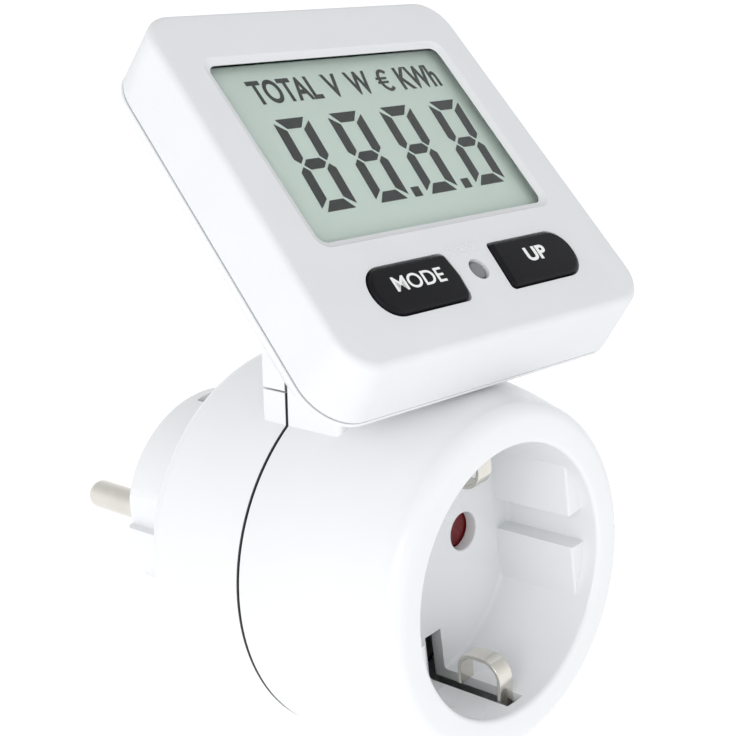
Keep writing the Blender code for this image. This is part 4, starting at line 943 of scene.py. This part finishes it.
cover = shown(face_loft(cover_sections()), "head_back", HEAD)
hollow = [(8.9, inside), (10.5, inside), (11.0, head_outline(JOINT, 2.72, 2.08))]
combine(cover, "DIFFERENCE", [(face_loft(hollow), HEAD)])
foot = BACK - FACE_FORWARD - 1.2
lug = [(foot, -6.5)] + arc(0, 0, HINGE_R, -100, 100, 28) + [(foot, 6.5)]
combine(cover, "UNION", [(along_x(lug, LUG_HALF, side * LUG_ACROSS), HEAD) for side in (-1, 1)]
        + [(rod_mesh(2.6, 3.3, on_head(x, 10.55, z), sides=24), HEAD) for x, z in head_screws])
cuts = [(box_mesh((RIBBON_SLOT, 8.0, 3.0), (RIBBON_X, BACK - FACE_FORWARD, 0)), HEAD),
        (rod_mesh(HINGE_BORE, 40, (0, 0, 0), "X", 32), HEAD)]
for x, z in head_screws:
    cuts.append((rod_mesh(SCREW_BORE, 12, on_head(x, BACK, z), sides=24), HEAD))
    cuts.append((rod_mesh(2.1, 6, on_head(x, 14.0, z), sides=32), HEAD))
combine(cover, "DIFFERENCE", cuts)
fit_out(cover, "display_head", "head_back_cover", GLOSS_WHITE)
ease_edges(cover, 0.12)
print("head back finished:", len(cover.data.polygons), "faces")

# %% [markdown]
# ## The keys
#
# The two black keys stand a little proud of the face and have soft shoulders. Their words are
# pad printed, so they are thin plates that lie on the key. The reset key is a small grey pin that
# sits below the face, where only a pen reaches it.

# %% Key caps
KEY_PROUD, RESET_SUNK, RESET_R = 0.5, 0.3, 1.45


def cap_sections(outline, proud, radius, back=2.3):
    """A cap with a round shoulder: the outline shrinks along an arc as it nears the top."""
    turns = [math.pi / 2 * i / 7 for i in range(7, -1, -1)]
    shoulder = [(-proud + radius * (1 - math.sin(t)), inset(outline, radius * (1 - math.cos(t))))
                for t in turns]
    return shoulder + [(back, outline)]


def key_cap(name, outline, flange, proud, shoulder, paint):
    cap = shown(face_loft(cap_sections(outline, proud, shoulder)), f"{name}_key_cap", HEAD)
    combine(cap, "UNION", [(face_loft([(2.1, flange), (2.9, flange)]), HEAD)])
    fit_out(cap, f"{name}_key", f"{name}_button", paint)


reset_outline = [(RESET_X + x, RESET_Z + z) for x, z in arc(0, 0, RESET_R, 0, 350, 35)]
reset_flange = rectangle(5.0, 5.4, 0.5, RESET_X, RESET_Z)
key_cap("mode", mode_outline(), mode_outline(KEY_FLANGE), KEY_PROUD, 0.7, KEY_BLACK)
key_cap("up", up_outline(), up_outline(KEY_FLANGE), KEY_PROUD, 0.7, KEY_BLACK)
key_cap("reset", reset_outline, reset_flange, -RESET_SUNK, 0.4, KEY_GREY)
print("three keys made")

# %% [markdown]
# ## Lettering
#
# A text object gives the letters. It is turned into a mesh and scaled to the width and height of
# the printed word, so the same helper serves the keys, the display's legend and the raised word
# by the reset hole.

# %% The word maker
def word(name, text, box, depth, thick, body, paint, bold=0.0):
    """Text inside box = (left, right, low, high) on the head, its front at a depth behind the face."""
    letters = bpy.data.curves.new(name, "FONT")
    letters.body = text
    letters.offset = bold
    letters.extrude = 0.05
    letters.resolution_u = 6
    helper = bpy.data.objects.new(name, letters)
    bpy.context.scene.collection.objects.link(helper)
    bpy.context.view_layer.update()
    mesh = bpy.data.meshes.new_from_object(helper.evaluated_get(bpy.context.evaluated_depsgraph_get()))
    bpy.data.objects.remove(helper, do_unlink=True)
    bm = bmesh.new()
    bm.from_mesh(mesh)
    bmesh.ops.remove_doubles(bm, verts=bm.verts, dist=1e-5)
    low = Vector(min(v.co[i] for v in bm.verts) for i in range(3))
    high = Vector(max(v.co[i] for v in bm.verts) for i in range(3))
    left, right, bottom, peak = box
    for v in bm.verts:
        x = left + (right - left) * (v.co.x - low.x) / (high.x - low.x)
        z = bottom + (peak - bottom) * (v.co.y - low.y) / (high.y - low.y)
        y = depth + thick * (high.z - v.co.z) / (high.z - low.z)
        v.co = on_head(x, y, z)
    return shown(bm, name, HEAD, body, paint)


PRINT, PRINT_LOW, PRINT_HIGH = 0.03, -20.2, -17.8     # how far a key's print stands up, and its height
print_depth = -KEY_PROUD - PRINT
word("mode_key_word", "MODE", (-17.2, -7.1, PRINT_LOW, PRINT_HIGH), print_depth, 2 * PRINT,
     "mode_key", PRINT_WHITE, 0.012)
word("up_key_word", "UP", (11.3, 15.9, PRINT_LOW, PRINT_HIGH), print_depth, 2 * PRINT,
     "up_key", PRINT_WHITE, 0.035)
word("reset_word", "RESET", (-3.2, 3.9, -16.5, -14.8), -0.08, 0.2,
     "display_head", FACE_WHITE, 0.01)
print("words made")

# %% [markdown]
# ## The display
#
# A seven-segment digit is made of seven plates with mitred ends, all leaning a little. They lie
# just in front of the display's glass, where the liquid crystal turns dark. The legend above them
# is made with the word maker, apart from the euro sign, which is an open ring and two bars.

# %% Plates and segments
SIGN_DEPTH, SIGN_THICK = 2.12, 0.06


def plate(bm, outline):
    """A thin flat piece in front of the display's glass."""
    front = [bm.verts.new(on_head(x, SIGN_DEPTH, y)) for x, y in outline]
    back = [bm.verts.new(on_head(x, SIGN_DEPTH + SIGN_THICK, y)) for x, y in outline]
    bm.faces.new(front)
    bm.faces.new(back[::-1])
    for i in range(len(front)):
        j = (i + 1) % len(front)
        bm.faces.new((front[j], front[i], back[i], back[j]))


def segments(w, h, s):
    """The seven segments of a digit, w wide and h high, drawn with strokes s wide."""
    m, tip = h / 2, s / 2
    top = [(0.65, h), (s + 0.3, h - s), (w - s - 0.3, h - s), (w - 0.65, h)]
    side = [(0, h - 0.7), (0, m + 1.15), (tip, m + 0.3), (s, m + 1.15), (s, h - s - 0.35)]
    middle = [(tip + 0.4, m), (tip + 1.25, m - tip), (w - tip - 1.25, m - tip), (w - tip - 0.4, m),
              (w - tip - 1.25, m + tip), (tip + 1.25, m + tip)]
    right = [(w - x, y) for x, y in side]
    return [top, side, right, middle] + [[(x, h - y) for x, y in shape] for shape in (top, side, right)]


print("a digit has", len(segments(2, 4, 0.5)), "segments")

# %% The digits and their points
DIGIT_W, DIGIT_H, STROKE, LEAN = 6.8, 16.15, 1.75, 0.072
DIGIT_LEFTS, POINT_LEFTS, DIGIT_FOOT = (-18.3, -7.55, 3.3, 14.4), (0.35, 11.45), -4.75
POINT = ((0, 0), (1.65, 0), (1.65, 1.7), (0, 1.7))


def leaning(shape, left):
    return [(left + x + LEAN * y, DIGIT_FOOT + y) for x, y in shape]


signs = bmesh.new()
for left in DIGIT_LEFTS:
    for shape in segments(DIGIT_W, DIGIT_H, STROKE):
        plate(signs, leaning(shape, left))
for left in POINT_LEFTS:
    plate(signs, leaning(POINT, left))
shown(signs, "display_digits", HEAD, "display_head", DISPLAY_INK)
print("digits:", len(DIGIT_LEFTS))

# %% The euro sign
EURO_X, EURO_Z, EURO_OUTER, EURO_INNER = 10.15, 16.35, (1.5, 2.12), (0.92, 1.55)


def euro_sign():
    """An open oval ring with two slanted bars."""
    bm = bmesh.new()
    ring = arc(0, 0, 1.0, 48, 312, 24)
    outer, inner = ([(EURO_X + x * wide, EURO_Z + z * high) for x, z in ring]
                    for wide, high in (EURO_OUTER, EURO_INNER))
    for i in range(len(ring) - 1):
        plate(bm, [outer[i], outer[i + 1], inner[i + 1], inner[i]])
    for height in (16.0, 16.75):
        plate(bm, [(8.2, height - 0.2), (10.5, height - 0.2), (10.6, height + 0.2), (8.3, height + 0.2)])
    bmesh.ops.remove_doubles(bm, verts=bm.verts, dist=1e-4)
    return bm


shown(euro_sign(), "display_legend_4", HEAD, "display_head", DISPLAY_INK)
print("euro sign made")

# %% The legend's words and the display's ground
LEGEND_LOW, LEGEND_HIGH = 14.2, 18.5
legend = ((1, "TOTAL", -17.6, -4.4), (2, "V", -2.7, 0.2), (3, "W", 2.1, 6.6), (5, "KWh", 13.0, 21.7))
for i, text, left, right in legend:
    word(f"display_legend_{i}", text, (left, right, LEGEND_LOW, LEGEND_HIGH), SIGN_DEPTH, SIGN_THICK,
         "display_head", DISPLAY_INK, 0.02)
glass = shown(box_mesh((52.4, 2.6, 32.4), on_head(0, 3.5, WINDOW_Z), 0.2), "display_ground", HEAD,
              "display_head", DISPLAY_GROUND)
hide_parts("display_cell")
print("legend words:", len(legend))

# %% [markdown]
# ## Screws and hinge hardware
#
# The screws and the hinge pins are small, but they catch the light from behind. They are turned
# again with more steps than the engineering model needs, and the screws get a cross recess.

# %% Screws
def screw(name, length, matrix, place, body):
    """A pan head screw with a cross recess, whose shank runs forward from its head."""
    head, edge, under, shank = 1.8, 0.4, -1.2, 1.1
    profile = [(0, 0), (1.2, 0)] + arc(head - edge, -edge, edge, 80, 0, 4)
    profile += [(head, under), (shank, under), (shank, -length + 0.8), (0, -length)]
    made = shown(lathe_mesh(profile, 40), f"{name}_fine", moved(matrix, *place))
    recess = [box_mesh(size, (0, 0, 0)) for size in ((2.2, 1.2, 0.5), (0.5, 1.2, 2.2))]
    combine(made, "DIFFERENCE", [(slot, made.matrix_world) for slot in recess])
    fit_out(made, body, name, STEEL)


for i, (x, z) in enumerate(posts):
    screw(f"case_screw_{i + 1}", 26, BODY, (x, SHOULDER - 0.3, z), "housing")
for i, (x, z) in enumerate(head_screws):
    screw(f"head_screw_{i + 1}", 6.2, HEAD, on_head(x, 12.2, z), "display_head")
print("eight screws made")

# %% Hinge pins and washers
def hinge_pin_profile():
    """A pin with a round head, whose depth counts from the meter's middle."""
    end, neck, tip, head, shank, chamfer = 16.9, 15.9, 8.9, 2.6, 1.5, 0.4
    round_edge = arc(head - 0.5, end - 0.5, 0.5, 90, 0, 5)
    return [(0, end)] + round_edge + [(head, neck), (shank, neck), (shank, tip + chamfer),
                                      (shank - chamfer, tip), (0, tip)]


WASHER = [(4.3, 11.7), (4.3, 11.3), (HINGE_BORE, 11.3), (HINGE_BORE, 11.7)]
outwards = Matrix.Rotation(-math.pi / 2, 4, "Z")
for name, place in (("left", HINGE @ outwards.inverted()), ("right", HINGE @ outwards)):
    pin = shown(lathe_mesh(hinge_pin_profile(), 40), f"{name}_hinge_pin", place, "housing", STEEL)
    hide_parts(f"hinge_pin_{name}")
    washer = shown(lathe_mesh(WASHER, 48), f"{name}_washer", place, "housing", STEEL)
    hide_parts(f"friction_washer_{name}")
print("hinge hardware made")

# %% [markdown]
# ## Finishes on the pieces that stay as they are
#
# The inner pieces keep the engineering model's shape. Each takes one of the finishes by its name,
# so that nothing is left in a plain colour when the meter is opened or seen through a hole.

# %% Finish the carried-over pieces
CARRIED = (
    (SHUTTER_RED, ("child_shutter",)),
    (WINDOW, ("display_lens",)),
    (ZEBRA, ("zebra_strip",)),
    (NYLON, ("contact_carrier", "ribbon_socket_head", "ribbon_socket_main", "mode_switch_plunger",
             "up_switch_plunger", "reset_switch_plunger")),
    (COMPONENT, ("mode_switch", "up_switch", "reset_switch", "metering_chip", "display_chip",
                 "smoothing_capacitor")),
    (FILM_BOX, ("film_capacitor",)),
    (VARISTOR, ("varistor",)),
    (BOARD, ("metering_board", "display_board")),
    (BRASS, ("earth_bridge", "live_busbar", "neutral_busbar", "live_socket_contact",
             "neutral_socket_contact")),
    (MANGANIN, ("current_shunt",)),
    (STEEL, ("backup_battery", "shutter_spring")),
    (FLAT_CABLE, ("ribbon_cable_lower", "ribbon_cable_upper")))
for paint, names in CARRIED:
    for name in names:
        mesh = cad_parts[name].data
        mesh.materials.clear()
        mesh.materials.append(paint)
        mesh.shade_smooth()
        mesh.set_sharp_from_angle(angle=math.radians(35))
print("finished", sum(len(names) for paint, names in CARRIED), "carried-over pieces")

# %% [markdown]
# ## Floor, light and camera
#
# The meter stands over a pale, softly lit floor in a bright studio. The world is brightest at the
# sides and much greyer overhead, which leaves the tilted face a shade darker than the upright
# sides. One large lamp on the left gives the barrel its form.

# %% Floor
GROUND, GROUND_REACH = -75, 40000  # the floor's height and half its side


def pale_floor():
    made = bpy.data.materials.new("pale floor")
    made.use_nodes = True
    shader = made.node_tree.nodes["Principled BSDF"]
    shader.inputs["Base Color"].default_value = (0.9, 0.9, 0.9, 1)
    shader.inputs["Roughness"].default_value = 0.9
    shader.inputs["Emission Color"].default_value = (0.99, 0.99, 1.0, 1)
    shader.inputs["Emission Strength"].default_value = 0.42
    bm = bmesh.new()
    bmesh.ops.create_grid(bm, x_segments=1, y_segments=1, size=GROUND_REACH)
    bmesh.ops.translate(bm, vec=(0, 0, GROUND), verts=bm.verts)
    shown(bm, "floor", Matrix.Identity(4), finish=made)


pale_floor()
print("floor at", GROUND, "mm")

# %% World and lamps
LEVEL_LIGHT, OVERHEAD_LIGHT = 1.17, 0.55
world = bpy.data.worlds.new("studio")
bpy.context.scene.world = world
world.use_nodes = True
sky = world.node_tree
direction = sky.nodes.new("ShaderNodeTexCoord")
parts = sky.nodes.new("ShaderNodeSeparateXYZ")
sky.links.new(direction.outputs["Generated"], parts.inputs[0])
lift = sky.nodes.new("ShaderNodeMapRange")
lift.inputs["From Min"].default_value, lift.inputs["From Max"].default_value = 0.0, 1.0
lift.inputs["To Min"].default_value, lift.inputs["To Max"].default_value = LEVEL_LIGHT, OVERHEAD_LIGHT
sky.links.new(parts.outputs["Z"], lift.inputs["Value"])
sky.links.new(lift.outputs[0], sky.nodes["Background"].inputs["Strength"])
sky.nodes["Background"].inputs["Color"].default_value = (0.98, 0.99, 1.0, 1)


def lamp(name, place, aim, size, power):
    light = bpy.data.lights.new(name, "AREA")
    light.shape = "DISK"
    light.size = size
    light.energy = power
    holder = bpy.data.objects.new(name, light)
    bpy.context.scene.collection.objects.link(holder)
    holder.location = place
    holder.rotation_euler = (Vector(aim) - Vector(place)).to_track_quat("-Z", "Y").to_euler()


lamp("side_lamp", (-0.9, -0.5, 0.25), (0, -0.04, 0.02), 0.5, 2.6)
bpy.context.scene.view_settings.view_transform = "Standard"
print("studio lit")

# %% Camera
def place_camera(azimuth, elevation, roll, distance, target, lens):
    """Look at a target from a distance, with angles in degrees and lengths in millimetres."""
    a, e, r = (math.radians(v) for v in (azimuth, elevation, roll))
    back = Vector((math.sin(a) * math.cos(e), -math.cos(a) * math.cos(e), math.sin(e)))
    right = Vector((math.cos(a), math.sin(a), 0))
    up = back.cross(right)
    right, up = right * math.cos(r) + up * math.sin(r), up * math.cos(r) - right * math.sin(r)
    camera = bpy.data.objects.new("camera", bpy.data.cameras.new("camera"))
    bpy.context.scene.collection.objects.link(camera)
    camera.data.lens = lens
    camera.data.clip_start = 0.01
    turn = Matrix((right, up, back)).transposed().to_4x4()
    camera.matrix_world = Matrix.Translation((Vector(target) + back * distance) * MM) @ turn
    bpy.context.scene.camera = camera
    return camera


camera = place_camera(-46.76, 13.7, -1.16, 244.62, (-8.74, 20.0 + RING, 30.32), 83.44)
print("camera at", [round(v * 1000, 1) for v in camera.location], "mm")
